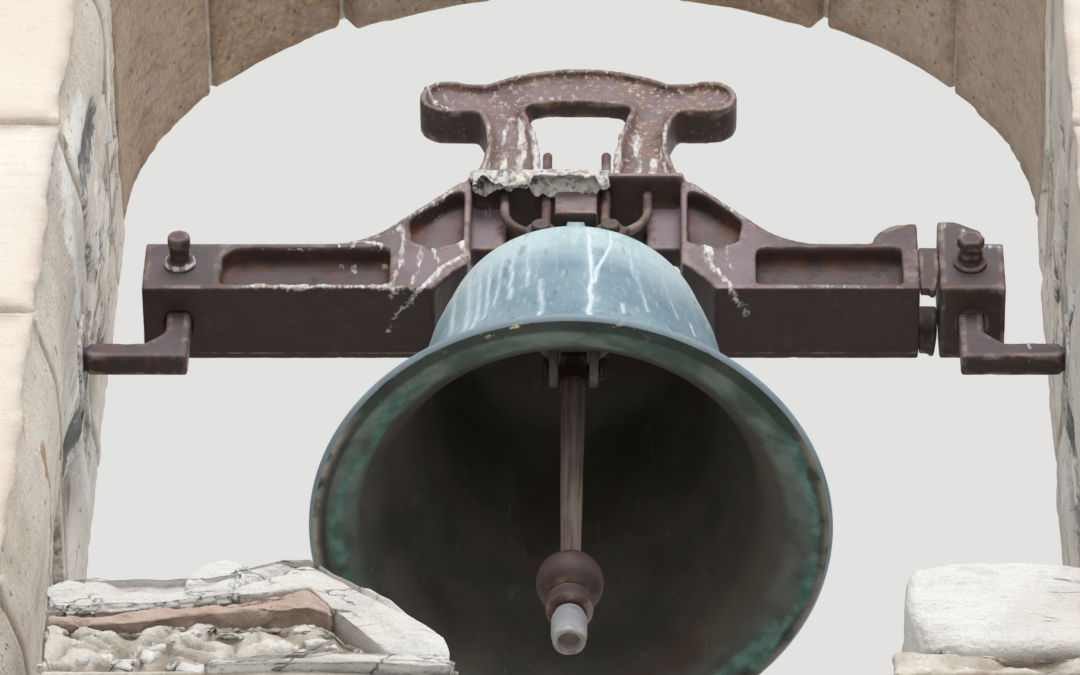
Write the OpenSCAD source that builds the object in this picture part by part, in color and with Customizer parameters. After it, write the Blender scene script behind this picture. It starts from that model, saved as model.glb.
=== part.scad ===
// Arched stone bell opening of a belfry, with its bronze bell hung in a cast-iron
// headstock that turns on cranked gudgeons let into the jambs.
// Front is -Y, up is +Z, and the origin is the middle of the wall's foot.

/* [Stone bay] */
// Width of the bay between its cut ends
bay_w = 2200; // [2040:20:2600]
// Thickness of the wall
wall_t = 600; // [500:20:760]
// Height of the wall below the sill
base_h = 600; // [400:20:900]
// Clear width of the opening between the jambs
opening_w = 1354; // [1280:2:1600]
// Height from the sill to the springing of the arch
jamb_h = 1862; // [1700:2:2300]
// Depth of the arch ring
ring_d = 310; // [200:10:330]
// Height of the course laid over the arch
top_course_h = 150; // [100:10:300]
// Height of the sill stones
sill_h = 160; // [100:10:240]
// Open angle of the middle stone of the arch
key_angle = 24; // [16:2:36]
// Open angle of the three middle stones together
crown_angle = 66; // [56:2:90]
// Angle of the lowest stone on each side of the arch
springer_angle = 34; // [28:1:38]
// How far the three middle stones hang below the rest of the arch
crown_drop = 22; // [0:1:40]
// Width and depth of the raked mortar joints
joint_w = 8; // [4:1:14]

/* [Bell] */
// Diameter of the bell at its mouth
bell_d = 700; // [580:10:740]
// Height of the bell from mouth to top plate
bell_h = 518; // [440:2:600]
// Radius of the bell at its shoulder
shoulder_r = 184; // [150:2:194]
// Wall at the waist
waist_t = 20; // [14:1:26]
// Extra wall at the sound bow, where the clapper strikes
bow_t = 26; // [14:1:54]
// Height of the mouth plane above the sill
mouth_up = 690; // [660:10:900]

/* [Headstock] */
// Length of the beam over both arms
beam_l = 1204; // [1120:4:1230]
// Height of the arms
beam_h = 114; // [96:1:130]
// Thickness of the casting, front to back
beam_t = 120; // [112:2:140]
// Depth of the cast pockets
pocket_d = 30; // [10:1:36]
// Depth to which the bell's head nests into the beam
nest = 23; // [10:1:40]
// Height of the shelf above the arms
shelf_up = 156; // [144:2:190]
// Width of the shelf
shelf_w = 308; // [296:2:330]
// Height of the crown handle above the shelf
crown_h = 335; // [300:1:360]
// Thickness of the crown handle
crown_t = 62; // [40:2:90]
// Side of the square gudgeon bars
bar_w = 34; // [24:1:36]
// Drop from the bell's top plate to the turning axis
axis_drop = 109; // [80:1:140]

/* [Clapper] */
// Length from the clapper pin to the middle of the ball
clapper_l = 495; // [440:5:500]
// Radius of the clapper ball
ball_r = 45; // [30:1:50]
// Radius of the wooden shaft at its top
shaft_r = 17; // [12:0.5:20]

/* [Hidden] */

// Running clearance of a journal or a pin
run_gap = 0.05;
// Room between a moving face and the stone beside it
side_gap = 5;

open_r = opening_w / 2;
spring_z = base_h + jamb_h;
ring_r = open_r + ring_d;
top_z = spring_z + ring_r;
// Half of the bay, which leaves some wall beside the widest part of the arch ring
half_bay = max(bay_w / 2, ring_r + 30);
mouth_z = base_h + mouth_up;
plate_z = mouth_z + bell_h;
axis_z = plate_z - axis_drop;
mouth_r = bell_d / 2;

beam_z = plate_z - nest;
arm_z = beam_z + beam_h;
shelf_z = arm_z + shelf_up;
shelf_t = 14;
crown_z = shelf_z + shelf_t;
half_t = beam_t / 2;

bearing_h = 100;
bearing_w = 90;
bearing_l = 80;
journal_r = bar_w / 2 - 1;
leg_x = beam_l / 2 - 51;
bolt_z = beam_z + 60;
bolt_r = 10;
pin_r = 9;
pin_x = 49;
rod_x = 42;
pin_z = shelf_z - 98;
socket_h = 78;

stone = [0.90, 0.87, 0.82];
soffit_stone = [0.78, 0.70, 0.62];
mortar = [0.66, 0.56, 0.45];
bronze = [0.34, 0.49, 0.48];
iron = [0.40, 0.33, 0.33];
rust = [0.36, 0.25, 0.21];
wood = [0.38, 0.29, 0.24];
pale_iron = [0.62, 0.62, 0.62];

// Points along a circular arc in the plane of the outline
function arc(cx, cy, r, from, to, n = 8) =
    [for (i = [0:n]) [cx + r * cos(from + (to - from) * i / n), cy + r * sin(from + (to - from) * i / n)]];

function mirrored(points) = [for (i = [len(points) - 1:-1:0]) [-points[i][0], points[i][1]]];

// Upright slab of an outline drawn in X and Z, centred on Y = y
module upright(t, y = 0) {
    translate([0, y + t / 2, 0]) rotate([90, 0, 0]) linear_extrude(t) children();
}

module both_faces() {
    children();
    mirror([0, 1, 0]) children();
}

// Stone

// Raked joint that runs round a block whose corner is at the origin
module raked_joint(w, t, z) {
    translate([0, 0, z - joint_w / 2]) difference() {
        translate([-joint_w, -joint_w, 0]) cube([w + 2 * joint_w, t + 2 * joint_w, joint_w]);
        translate([joint_w, joint_w, -1]) cube([w - 2 * joint_w, t - 2 * joint_w, joint_w + 2]);
    }
}

module base_wall() {
    base_top = base_h - sill_h;
    color(stone) translate([-half_bay, -wall_t / 2, 0]) difference() {
        cube([2 * half_bay, wall_t, base_top]);
        raked_joint(2 * half_bay, wall_t, base_top / 2);
    }
}

module sill_course() {
    color(stone) translate([-half_bay, -wall_t / 2, base_h - sill_h])
        cube([2 * half_bay, wall_t, sill_h]);
}

// Heights of the bed joints of a pier, as shares of the jamb
function pier_beds() = [0.108, 0.422, 0.668, 0.914];

module pier(side) {
    w = half_bay - open_r;
    x = side < 0 ? -half_bay : open_r;
    color(stone) translate([x, -wall_t / 2, base_h]) difference() {
        cube([w, wall_t, jamb_h]);
        for (bed = pier_beds()) raked_joint(w, wall_t, jamb_h * bed);
        translate([side < 0 ? w - bearing_l : -1, (wall_t - bearing_w) / 2, axis_z - base_h - bearing_h / 2])
            cube([bearing_l + 1, bearing_w, bearing_h]);
    }
}

module left_pier() pier(-1);
module right_pier() pier(1);

// One stone of the arch between two angles from the springing line
module arch_stone(from, to, drop = 0) {
    reach = 2 * ring_r;
    color(soffit_stone) upright(wall_t) intersection() {
        translate([0, spring_z]) difference() {
            circle(r = ring_r, $fn = 256);
            circle(r = open_r - drop, $fn = 256);
        }
        polygon([
            [0, spring_z], [reach * cos(from), spring_z + reach * sin(from)],
            [reach * cos(to), spring_z + reach * sin(to)]
        ]);
    }
}

haunch_end = 90 - crown_angle / 2;
key_start = 90 - key_angle / 2;
module right_springer() arch_stone(0, springer_angle);
module right_haunch() arch_stone(springer_angle, haunch_end);
module right_shoulder() arch_stone(haunch_end, key_start, crown_drop);
module keystone() arch_stone(key_start, 180 - key_start, crown_drop);
module left_shoulder() arch_stone(180 - key_start, 180 - haunch_end, crown_drop);
module left_haunch() arch_stone(180 - haunch_end, 180 - springer_angle);
module left_springer() arch_stone(180 - springer_angle, 180);

// Wall beside the arch, up to the level of its crown
module spandrel(side) {
    color(stone) upright(wall_t) difference() {
        translate([side < 0 ? -half_bay : 0, spring_z]) square([half_bay, ring_r]);
        translate([0, spring_z]) circle(r = ring_r, $fn = 256);
    }
}

module left_spandrel() spandrel(-1);
module right_spandrel() spandrel(1);

module top_course() {
    color(stone) translate([-half_bay, -wall_t / 2, top_z])
        cube([2 * half_bay, wall_t, top_course_h]);
}

// Heap of mortar and broken stone that is left of the parapet
rubble_t = 280;
rubble_h = 172;
rubble_y = -wall_t / 2 + rubble_t / 2;
rubble_shelf = 190;
rubble_edge = 300;
rubble_l = 534;

// Height of the heap at a distance from the left jamb
function heap_top(d) = d < rubble_shelf ? rubble_h * (0.8 + 0.2 * d / rubble_shelf)
    : d < rubble_edge ? rubble_h
    : rubble_h - (rubble_h - 30) * (d - rubble_edge) / (rubble_l - rubble_edge);

module left_rubble() {
    color(mortar) upright(rubble_t, rubble_y) translate([-open_r, base_h]) polygon(concat(
        [[0, 0]],
        [for (d = [0, rubble_shelf, rubble_edge, rubble_l]) [d, heap_top(d)]],
        [[rubble_l + 14, 0]]
    ));
}

module left_broken_stone() {
    color(stone) upright(rubble_t - 40, rubble_y) translate([-open_r, base_h]) polygon(concat(
        [for (d = [60, rubble_shelf, rubble_edge, 480]) [d, heap_top(d)]],
        [[500, 96], [345, rubble_h + 68], [240, rubble_h + 74], [70, rubble_h + 12]]
    ));
}

bed_h = 60;
module right_mortar_bed() {
    color(mortar) translate([open_r - 275, -wall_t / 2 + 6, base_h]) cube([275, 250, bed_h]);
}

module right_loose_block() {
    color(stone) upright(230, -wall_t / 2 + 125) translate([open_r, base_h]) polygon([
        [-256, bed_h], [-4, bed_h], [0, 200], [-12, 238], [-170, 252], [-242, 236], [-260, 190]
    ]);
}

// Bearings and gudgeons

module bearing(side) {
    x = side < 0 ? -open_r - bearing_l : open_r;
    color(iron) difference() {
        translate([x, -bearing_w / 2, axis_z - bearing_h / 2]) cube([bearing_l, bearing_w, bearing_h]);
        translate([side * (open_r - 1), 0, axis_z]) rotate([0, side * 90, 0])
            cylinder(r = journal_r + run_gap, h = bearing_l - side_gap + 1, $fn = 64);
    }
}

module left_bearing() bearing(-1);
module right_bearing() bearing(1);

// Square bar let up into the arm, cranked outwards and turned down to a journal
module gudgeon(side) {
    knee = 27;
    reach = open_r - side_gap;
    socket_z = beam_z + socket_h;
    mirror([side < 0 ? 1 : 0, 0, 0]) color(iron) {
        difference() {
            upright(bar_w) polygon([
                [leg_x - bar_w / 2, axis_z - bar_w / 2], [reach, axis_z - bar_w / 2],
                [reach, axis_z + bar_w / 2], [leg_x + bar_w / 2 + knee, axis_z + bar_w / 2],
                [leg_x + bar_w / 2, axis_z + bar_w / 2 + knee], [leg_x + bar_w / 2, socket_z],
                [leg_x - bar_w / 2, socket_z]
            ]);
            translate([leg_x, 0, bolt_z]) rotate([90, 0, 0])
                cylinder(r = bolt_r, h = 2 * bar_w, center = true, $fn = 48);
        }
        translate([reach, 0, axis_z]) rotate([0, 90, 0])
            cylinder(r = journal_r, h = bearing_l - side_gap, $fn = 64);
    }
}

module left_gudgeon() gudgeon(-1);
module right_gudgeon() gudgeon(1);

// Headstock

arm_end = beam_l / 2 - 122;
block_x = arm_end + 28;
ear_r = 50;
ear_x = arm_end - 14;
slope_a = 50;
slope_top = shelf_w / 2 + 12;
slope_foot = slope_top + shelf_up / tan(slope_a);
// Round between slope and arm, no larger than the flat that is left before the ear
blend_r = min(120, (ear_x - ear_r - 6 - slope_foot) / tan(slope_a / 2));

// Half of the beam's top edge, from the shelf down the slope and round into the arm
function slope_points() = concat(
    [[slope_top, shelf_z]],
    arc(slope_foot + blend_r * tan(slope_a / 2), arm_z + blend_r, blend_r, 270 - slope_a, 270, 8)
);

// Mould seam that stands out near the rear face of the beam
seam_in = 14;
seam_w = 3;
seam_h = 2;

// Round arch over the bell's head, whose middle lies below the beam
head_w = shoulder_r + 12;
head_drop = 95;
head_r = sqrt(head_w * head_w + head_drop * head_drop);

module beam_outline() {
    difference() {
        polygon(concat(
            mirrored(slope_points()),
            slope_points(),
            arc(ear_x, arm_z, ear_r, 180, 90, 10),
            [[arm_end, arm_z + ear_r], [arm_end, beam_z], [-beam_l / 2, beam_z], [-beam_l / 2, arm_z]]
        ));
        translate([0, beam_z - head_drop]) circle(r = head_r, $fn = 128);
    }
}

// Long recess in the face of an arm, with small round corners and one corner cut back
module arm_pocket(x0, x1, cut) {
    rim = 13;
    r = 7;
    z0 = beam_z + rim;
    z1 = arm_z - rim;
    polygon(concat(
        arc(x1 - r, z1 - r, r, 0, 90, 4), [[x0 + cut, z1], [x0, z1 - cut]],
        arc(x0 + r, z0 + r, r, 180, 270, 4), arc(x1 - r, z0 + r, r, 270, 360, 4)
    ));
}

// Recess under the slope, beside the middle bay
module slope_pocket() {
    x = shelf_w / 2;
    polygon([
        [x + 4, arm_z + 6], [x + 4, shelf_z - 20], [x + 30, shelf_z - 36], [x + 80, arm_z + 58],
        [x + 74, arm_z + 6], [x + 46, arm_z - 12]
    ]);
}

bay_x = 100;
lug_w = 60;
lug_h = 70;
cheek_x = shelf_w / 2 - 6;
module headstock_beam() {
    color(iron) difference() {
        union() {
            upright(beam_t) beam_outline();
            translate([-shelf_w / 2, -half_t - 8, shelf_z]) cube([shelf_w, beam_t + 16, shelf_t]);
            // seam left by the mould under both arms
            for (x = [[-leg_x + bar_w, -head_w - 12], [head_w + 12, arm_end - 10]])
                translate([x[0], half_t - seam_in, beam_z - seam_h]) cube([x[1] - x[0], seam_w, seam_h + 1]);
        }
        // open bay round the bell's crown, wider under the cheeks, with a middle lug under the shelf
        difference() {
            union() {
                translate([-bay_x, -half_t - 1, plate_z + 20])
                    cube([2 * bay_x, beam_t + 2, shelf_z - plate_z - 20]);
                translate([-cheek_x, -half_t - 1, plate_z + 20])
                    cube([2 * cheek_x, beam_t + 2, shelf_z - 108 - plate_z - 20]);
            }
            translate([-lug_w / 2, -half_t + 8, shelf_z - lug_h]) cube([lug_w, beam_t - 16, lug_h + 10]);
        }
        both_faces() {
            upright(2 * pocket_d, half_t) {
                arm_pocket(-beam_l / 2 + 109, -slope_foot + 38, 20);
                arm_pocket(slope_foot - 44, arm_end - 23, 7);
                slope_pocket();
                mirror([1, 0]) slope_pocket();
            }
            // face of the bay's cheeks, set back under the shelf
            for (s = [-1, 1]) translate([s * (bay_x + cheek_x) / 2, half_t, shelf_z - 55])
                cube([cheek_x - bay_x, 88, 110], center = true);
        }
        // socket of the left gudgeon and its clamp bolt
        translate([-leg_x - bar_w / 2, -bar_w / 2, beam_z - 1]) cube([bar_w, bar_w, socket_h + 1]);
        translate([-leg_x, 0, bolt_z]) rotate([90, 0, 0])
            cylinder(r = bolt_r, h = 2 * beam_t, center = true, $fn = 48);
        // holes of the hanger rods
        for (x = [-rod_x, rod_x], y = [-hang_y, hang_y]) translate([x, y, shelf_z - 1])
            cylinder(r = rod_r + 0.2, h = shelf_t + 2, $fn = 32);
    }
}

// Web plate on the beam's end, with a bent strip that leans over to the end block
module end_link() {
    strip_t = 8;
    web_w = (block_x - arm_end) / 2;
    bend = 430;
    color(rust) both_faces() upright(14, half_t - 11) {
        translate([arm_end, beam_z + 6]) square([web_w + 2, beam_h - 12]);
        polygon(concat(
            [for (z = [0:12:beam_h - 6]) [block_x - bow_at(z, bend), beam_z + z]],
            [for (z = [beam_h - 6:-12:0]) [block_x - strip_t - bow_at(z, bend), beam_z + z]]
        ));
        translate([arm_end + web_w, beam_z + beam_h - 44]) square([block_x - strip_t / 2 - arm_end - web_w, 30]);
    }
}

// How far a strip bent to a radius leans back at a height, from its top third down
function bow_at(z, bend) = bend - sqrt(bend * bend - pow(min(0, z - beam_h * 0.7), 2));

module right_end_block() {
    x1 = beam_l / 2 - 3;
    step = x1 - 28;
    color(iron) difference() {
        upright(beam_t) polygon(concat(
            [[block_x, beam_z], [x1, beam_z], [x1, arm_z], [step, arm_z]],
            arc(step - 16, arm_z + 22, 16, 0, 70, 4),
            [[block_x + 22, arm_z + 56], [block_x, arm_z + 54]]
        ));
        translate([leg_x - bar_w / 2, -bar_w / 2, beam_z - 1]) cube([bar_w, bar_w, socket_h + 1]);
        translate([leg_x, 0, bolt_z]) rotate([90, 0, 0])
            cylinder(r = bolt_r, h = 2 * beam_t, center = true, $fn = 48);
    }
}

// Clamp bolt with a washer and nut at the back, and what stands out at the front
module clamp_bolt(x) {
    color(rust) translate([x, 0, bolt_z]) {
        rotate([90, 0, 0]) translate([0, 0, -half_t - 30]) cylinder(r = bolt_r, h = beam_t + 50, $fn = 48);
        translate([0, half_t + 8, 0]) rotate([90, 0, 0]) {
            cylinder(r = 23, h = 8, $fn = 48);
            translate([0, 0, -20]) cylinder(r = 18, h = 20, $fn = 6);
        }
        translate([0, -half_t, 0]) rotate([90, 0, 0]) children();
    }
}

// Stud with a ring at its foot, a neck and a round head with a bevelled end
module left_clamp_bolt() clamp_bolt(-leg_x) rotate_extrude($fn = 64) polygon([
    [0, 0], [23, 0], [23, 5], [20, 8], [14, 8], [14, 29], [16, 31], [16, 45], [14, 48], [0, 48]
]);

// Nut on a washer, and the bolt's own six-sided head in front of it
module right_clamp_bolt() clamp_bolt(leg_x) {
    cylinder(r = 24, h = 7, $fn = 64);
    translate([0, 0, 7]) cylinder(r = 18, h = 15, $fn = 6);
    cylinder(r = 13, h = 40, $fn = 48);
    translate([0, 0, 30]) cylinder(r = 20, h = 15, $fn = 6);
}

// Outline of the crown handle, drawn smaller by e all round
crown_mid = 135;
lobe_r = 42;
lobe_x = 189;
lobe_dip = 9;
crown_rise = 44;
crown_arc_r = (crown_mid * crown_mid + crown_rise * crown_rise) / (2 * crown_rise);

module crown_outline(e = 0) {
    difference() {
        union() {
            crown_half(e);
            mirror([1, 0]) crown_half(e);
        }
        crown_window(e);
    }
}

// Right half: a pillar that widens at its foot, the lobe, and half of the top band
module crown_half(e) {
    sill = crown_z + crown_h - 117;
    arc_z = crown_z + crown_h - crown_arc_r;
    half_a = asin(crown_mid / crown_arc_r);
    polygon(concat(
        [[0, sill - 10], [crown_mid + 12, sill + e], [crown_mid + 12, sill + 50]],
        arc(0, arc_z, crown_arc_r - e, 90 - half_a, 90, 12)
    ));
    translate([lobe_x, sill + lobe_r]) circle(r = lobe_r - e, $fn = 72);
    translate([crown_mid - 14, sill + e]) square([lobe_x - crown_mid + 14, 2 * lobe_r - lobe_dip - 2 * e]);
    polygon([
        [30, crown_z + e], [150 - e, crown_z + e], [148 - e, crown_z + 40], [135 - e, crown_z + 96],
        [130 - e, crown_z + 145], [134 - e, crown_z + 185], [146 - e, sill + e + 1],
        [120, sill + 30], [30, sill + 60]
    ]);
}

// Opening of the handle: narrow at the foot, wider, slightly arched and round-cornered at the top
module crown_window(e = 0) {
    head_r = 300;
    head_w = 82;
    head_z = crown_z + crown_h - 103;
    corner_x = 64;
    corner_r = 12;
    head_a = asin((corner_x - 2 + e) / head_r);
    half = concat(
        [[54 + e, crown_z - 1], [54 + e, crown_z + 100], [60 + e, crown_z + 150], [70 + e, head_z - 30]],
        arc(corner_x, head_z - 8, corner_r + e, -10, 70, 5)
    );
    polygon(concat(
        half,
        arc(0, head_z - head_r * cos(asin(head_w / head_r)) + e, head_r, 90 - head_a, 90 + head_a, 10),
        mirrored(half)
    ));
}

module crown_handle() {
    rim = 10;
    sink = 12;
    rear_rise = 44;
    color(iron) difference() {
        upright(crown_t) crown_outline();
        both_faces() upright(2 * sink, crown_t / 2) crown_outline(rim);
        // the rear half of the top band stops higher than the front half
        upright(crown_t / 2 + 1, crown_t / 4 + 0.5) translate([0, rear_rise]) crown_window();
    }
}

// Bell

// Outer radius at height z: a straight taper with a flare that dies out above the round lip
lip_r = 9;
shoulder_round = 76;
flare_len = 105;
taper = 66;
waist_top = bell_h - 48;
function outer_r(z) = shoulder_r + taper * (1 - z / waist_top)
    + (mouth_r - shoulder_r - taper) * exp(-max(z - lip_r, 0) / flare_len);

// Wall thickness at height z, swelling to the sound bow
bow_z = 42;
function wall(z) = waist_t + bow_t * exp(-pow((z - bow_z) / 58, 2));

bead_h = 3;
bead_w = 7;
function bead_points(z) = [
    [outer_r(z - bead_w), z - bead_w], [outer_r(z) + bead_h, z - bead_w / 2],
    [outer_r(z) + bead_h, z + bead_w / 2], [outer_r(z + bead_w), z + bead_w]
];

function outer_profile() = concat(
    arc(mouth_r - lip_r, lip_r, lip_r, 270, 360, 5),
    [for (z = [16:8:80]) [outer_r(z), z]],
    bead_points(102),
    bead_points(122),
    [for (z = [146:(bell_h - 316) / 6:bell_h - 169]) [outer_r(z), z]],
    bead_points(bell_h - 152),
    bead_points(bell_h - 132),
    [[outer_r(bell_h - 100), bell_h - 100]],
    arc(shoulder_r - shoulder_round, bell_h - shoulder_round, shoulder_round, 6, 80, 10),
    [[shoulder_r - shoulder_round + 4, bell_h], [0, bell_h]]
);

crown_in = bell_h - 26;
function inner_profile() = concat(
    [[0, crown_in]],
    arc(shoulder_r - shoulder_round + 26 - waist_t, crown_in - 52, 52, 90, 8, 9),
    [for (z = [waist_top - 40:-32:150]) [outer_r(z) - wall(z), z]],
    [for (z = [134:-12:14]) [outer_r(z) - wall(z), z]],
    [[mouth_r - 24, 1]]
);

module bell_shell() {
    color(bronze) translate([0, 0, mouth_z]) rotate_extrude($fn = 128)
        polygon(concat(outer_profile(), inner_profile()));
}

// Loops and a middle lug that stand on the bell's top plate
loop_r = 24;
loop_rod = 9;
loop_y = 22;
loop_z = pin_z - loop_r + loop_rod + pin_r;

module crown_loop(x, y) {
    translate([x, y, loop_z]) rotate([90, 0, 0])
        rotate_extrude(angle = 180, $fn = 64) translate([loop_r, 0]) circle(r = loop_rod, $fn = 32);
    for (s = [-1, 1]) translate([x + s * loop_r, y, plate_z + 6])
        cylinder(r = loop_rod, h = loop_z - plate_z - 6, $fn = 32);
}

module bell_crown() {
    color(bronze) {
        translate([0, 0, plate_z]) cylinder(r = 100, h = 12, $fn = 96);
        for (x = [-pin_x, pin_x], y = [-loop_y, loop_y]) crown_loop(x, y);
        translate([-14, -44, plate_z + 6]) cube([28, 88, shelf_z - lug_h - 6 - plate_z - 6]);
    }
}

// Pin through the loops, with a round head at each face
rod_r = 7;
hang_y = loop_y + loop_rod + rod_r + 0.3;
module crown_pin(x) {
    l = 2 * (hang_y + rod_r + 0.3);
    color(rust) translate([x, 0, pin_z]) {
        rotate([90, 0, 0]) cylinder(r = pin_r - 0.1, h = l, center = true, $fn = 48);
        both_faces() translate([0, l / 2 + 9, 0]) rotate([90, 0, 0]) cylinder(r = 13.5, h = 9, $fn = 48);
    }
}

module left_crown_pin() crown_pin(-pin_x);
module right_crown_pin() crown_pin(pin_x);

// Eye round the pin with its threaded rod through the shelf, and a side rod bent in under it
module hanger(sx, sy) {
    eye_r = pin_r + rod_r + 0.2;
    bend_r = 60;
    bend_a = 64;
    side_x = pin_x + eye_r + 36;
    bend_z = pin_z + bend_r * sin(bend_a);
    color(iron) mirror([sx < 0 ? 1 : 0, 0, 0]) mirror([0, sy < 0 ? 1 : 0, 0]) translate([0, hang_y, 0]) {
        translate([pin_x, 0, pin_z]) rotate([90, 0, 0]) rotate_extrude($fn = 64)
            translate([eye_r, 0]) circle(r = rod_r, $fn = 32);
        translate([rod_x, 0, pin_z + eye_r - 3]) cylinder(r = rod_r, h = crown_z + 88 - pin_z - eye_r, $fn = 32);
        translate([rod_x, 0, crown_z + 85]) cylinder(r1 = rod_r, r2 = rod_r - 2, h = 2, $fn = 32);
        translate([rod_x, 0, crown_z]) cylinder(r = 11, h = 12, $fn = 6);
        translate([side_x - bend_r, 0, bend_z]) rotate([90, 0, 0]) rotate([0, 0, -bend_a])
            rotate_extrude(angle = bend_a, $fn = 96) translate([bend_r, 0]) circle(r = rod_r, $fn = 32);
        translate([side_x, 0, bend_z - 2]) cylinder(r = rod_r - 0.2, h = shelf_z - bend_z + 2, $fn = 32);
    }
}

module front_left_hanger() hanger(-1, -1);
module front_right_hanger() hanger(1, -1);
module rear_left_hanger() hanger(-1, 1);
module rear_right_hanger() hanger(1, 1);

// Clapper

hang_in = 133;
pivot_z = plate_z - hang_in;
eye_w = 36;
cheek_t = 14;
clapper_pin_r = 9;

module clapper_hanger() {
    x0 = eye_w / 2 + 3;
    top = mouth_z + crown_in;
    color(pale_iron) difference() {
        union() {
            translate([0, 0, top - 12]) cylinder(r = 62, h = 12, $fn = 64);
            for (s = [-1, 1]) {
                translate([s * (x0 + cheek_t / 2), 0, (top - 12 + pivot_z) / 2])
                    cube([cheek_t, 52, top - 12 - pivot_z], center = true);
                translate([s * (x0 + cheek_t / 2), 0, pivot_z]) rotate([0, 90, 0])
                    cylinder(r = 26, h = cheek_t, center = true, $fn = 64);
            }
        }
        translate([0, 0, pivot_z]) rotate([0, 90, 0])
            cylinder(r = clapper_pin_r, h = 200, center = true, $fn = 48);
    }
}

module clapper_pin() {
    l = eye_w + 6 + 2 * cheek_t;
    color(rust) translate([0, 0, pivot_z]) {
        rotate([0, 90, 0]) cylinder(r = clapper_pin_r, h = l, center = true, $fn = 48);
        for (s = [-1, 1]) translate([s * (l / 2 + 4), 0, 0]) rotate([0, 90, 0])
            cylinder(r = 15, h = 8, center = true, $fn = 48);
    }
}

shaft_top = pivot_z - 46;
ball_z = pivot_z - clapper_l;

module clapper_head() {
    color(rust) difference() {
        union() {
            translate([0, 0, pivot_z]) rotate([0, 90, 0]) cylinder(r = 24, h = eye_w, center = true, $fn = 64);
            translate([0, 0, shaft_top]) cylinder(r = shaft_r + 3, h = pivot_z - shaft_top, $fn = 48);
        }
        translate([0, 0, pivot_z]) rotate([0, 90, 0])
            cylinder(r = clapper_pin_r + run_gap, h = 2 * eye_w, center = true, $fn = 48);
    }
}

module clapper_shaft() {
    color(wood) translate([0, 0, ball_z + ball_r - 6]) rotate_extrude($fn = 64) polygon([
        [0, 0], [shaft_r - 3, 0], [shaft_r - 3, 60], [shaft_r, shaft_top - ball_z - ball_r - 40],
        [shaft_r, shaft_top - ball_z - ball_r + 6], [0, shaft_top - ball_z - ball_r + 6]
    ]);
}

module clapper_ball() {
    color(rust) translate([0, 0, ball_z]) rotate_extrude($fn = 96) polygon(concat(
        [[0, ball_r - 6]], [[shaft_r + 3, ball_r - 6]], arc(0, 0, ball_r, 60, -52, 16), [[0, -ball_r * sin(52)]]
    ));
}

collar_z = ball_z - ball_r * sin(52);
module clapper_collar() {
    color(rust) translate([0, 0, collar_z - 34]) rotate_extrude($fn = 96) polygon([
        [0, 0], [26, 0], [31, 5], [32, 14], [32, 27], [28, 34], [0, 34]
    ]);
}

module clapper_tail() {
    color(pale_iron) translate([0, 0, collar_z - 34 - 62]) rotate_extrude($fn = 96) polygon([
        [0, 18], [14, 18], [15, 2], [19, 0], [22, 3], [24, 20], [24, 48], [20, 62], [0, 62]
    ]);
}

base_wall();
sill_course();
left_pier();
right_pier();
left_springer();
left_haunch();
left_shoulder();
keystone();
right_shoulder();
right_haunch();
right_springer();
left_spandrel();
right_spandrel();
top_course();
left_rubble();
left_broken_stone();
right_mortar_bed();
right_loose_block();
left_bearing();
right_bearing();
bell_shell();
bell_crown();
headstock_beam();
crown_handle();
end_link();
right_end_block();
left_gudgeon();
right_gudgeon();
left_clamp_bolt();
right_clamp_bolt();
left_crown_pin();
right_crown_pin();
front_left_hanger();
front_right_hanger();
rear_left_hanger();
rear_right_hanger();
clapper_hanger();
clapper_pin();
clapper_head();
clapper_shaft();
clapper_ball();
clapper_collar();
clapper_tail();
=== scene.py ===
"""Looks of an arched stone bell opening: weathered ashlar, a green bronze bell, its cast-iron
headstock and its clapper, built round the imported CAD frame. Lengths in the mesh code are in
millimetres in the frame of the part; the front of the wall looks along -Y."""
import functools
import itertools

import bmesh
import bpy
import numpy as np
from mathutils import Matrix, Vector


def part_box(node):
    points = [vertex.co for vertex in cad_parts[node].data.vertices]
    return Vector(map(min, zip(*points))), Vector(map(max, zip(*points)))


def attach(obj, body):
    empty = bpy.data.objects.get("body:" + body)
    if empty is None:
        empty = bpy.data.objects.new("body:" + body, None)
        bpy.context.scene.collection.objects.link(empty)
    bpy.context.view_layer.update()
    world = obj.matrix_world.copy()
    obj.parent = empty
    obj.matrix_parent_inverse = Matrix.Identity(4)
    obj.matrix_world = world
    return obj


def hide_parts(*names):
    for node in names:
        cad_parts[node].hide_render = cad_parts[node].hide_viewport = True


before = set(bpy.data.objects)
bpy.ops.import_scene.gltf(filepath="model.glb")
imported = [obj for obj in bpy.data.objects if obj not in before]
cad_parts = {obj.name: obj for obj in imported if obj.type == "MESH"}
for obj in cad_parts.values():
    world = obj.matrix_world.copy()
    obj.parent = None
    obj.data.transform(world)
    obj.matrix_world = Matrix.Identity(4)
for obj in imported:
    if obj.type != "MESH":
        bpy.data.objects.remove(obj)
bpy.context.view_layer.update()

bl_info = {
    "name": "Bell opening looks",
    "version": (1, 0, 0),
    "blender": (4, 5, 0),
    "location": "3D View > Sidebar > Bell opening",
    "description": "Builds the weathered stone, bronze, iron and wood of an arched bell opening",
    "category": "Object",
}

MM = 0.001


def node_box(node):
    """Lowest and highest corner of a CAD node, in millimetres."""
    return [np.array(corner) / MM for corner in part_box(node)]


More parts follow.
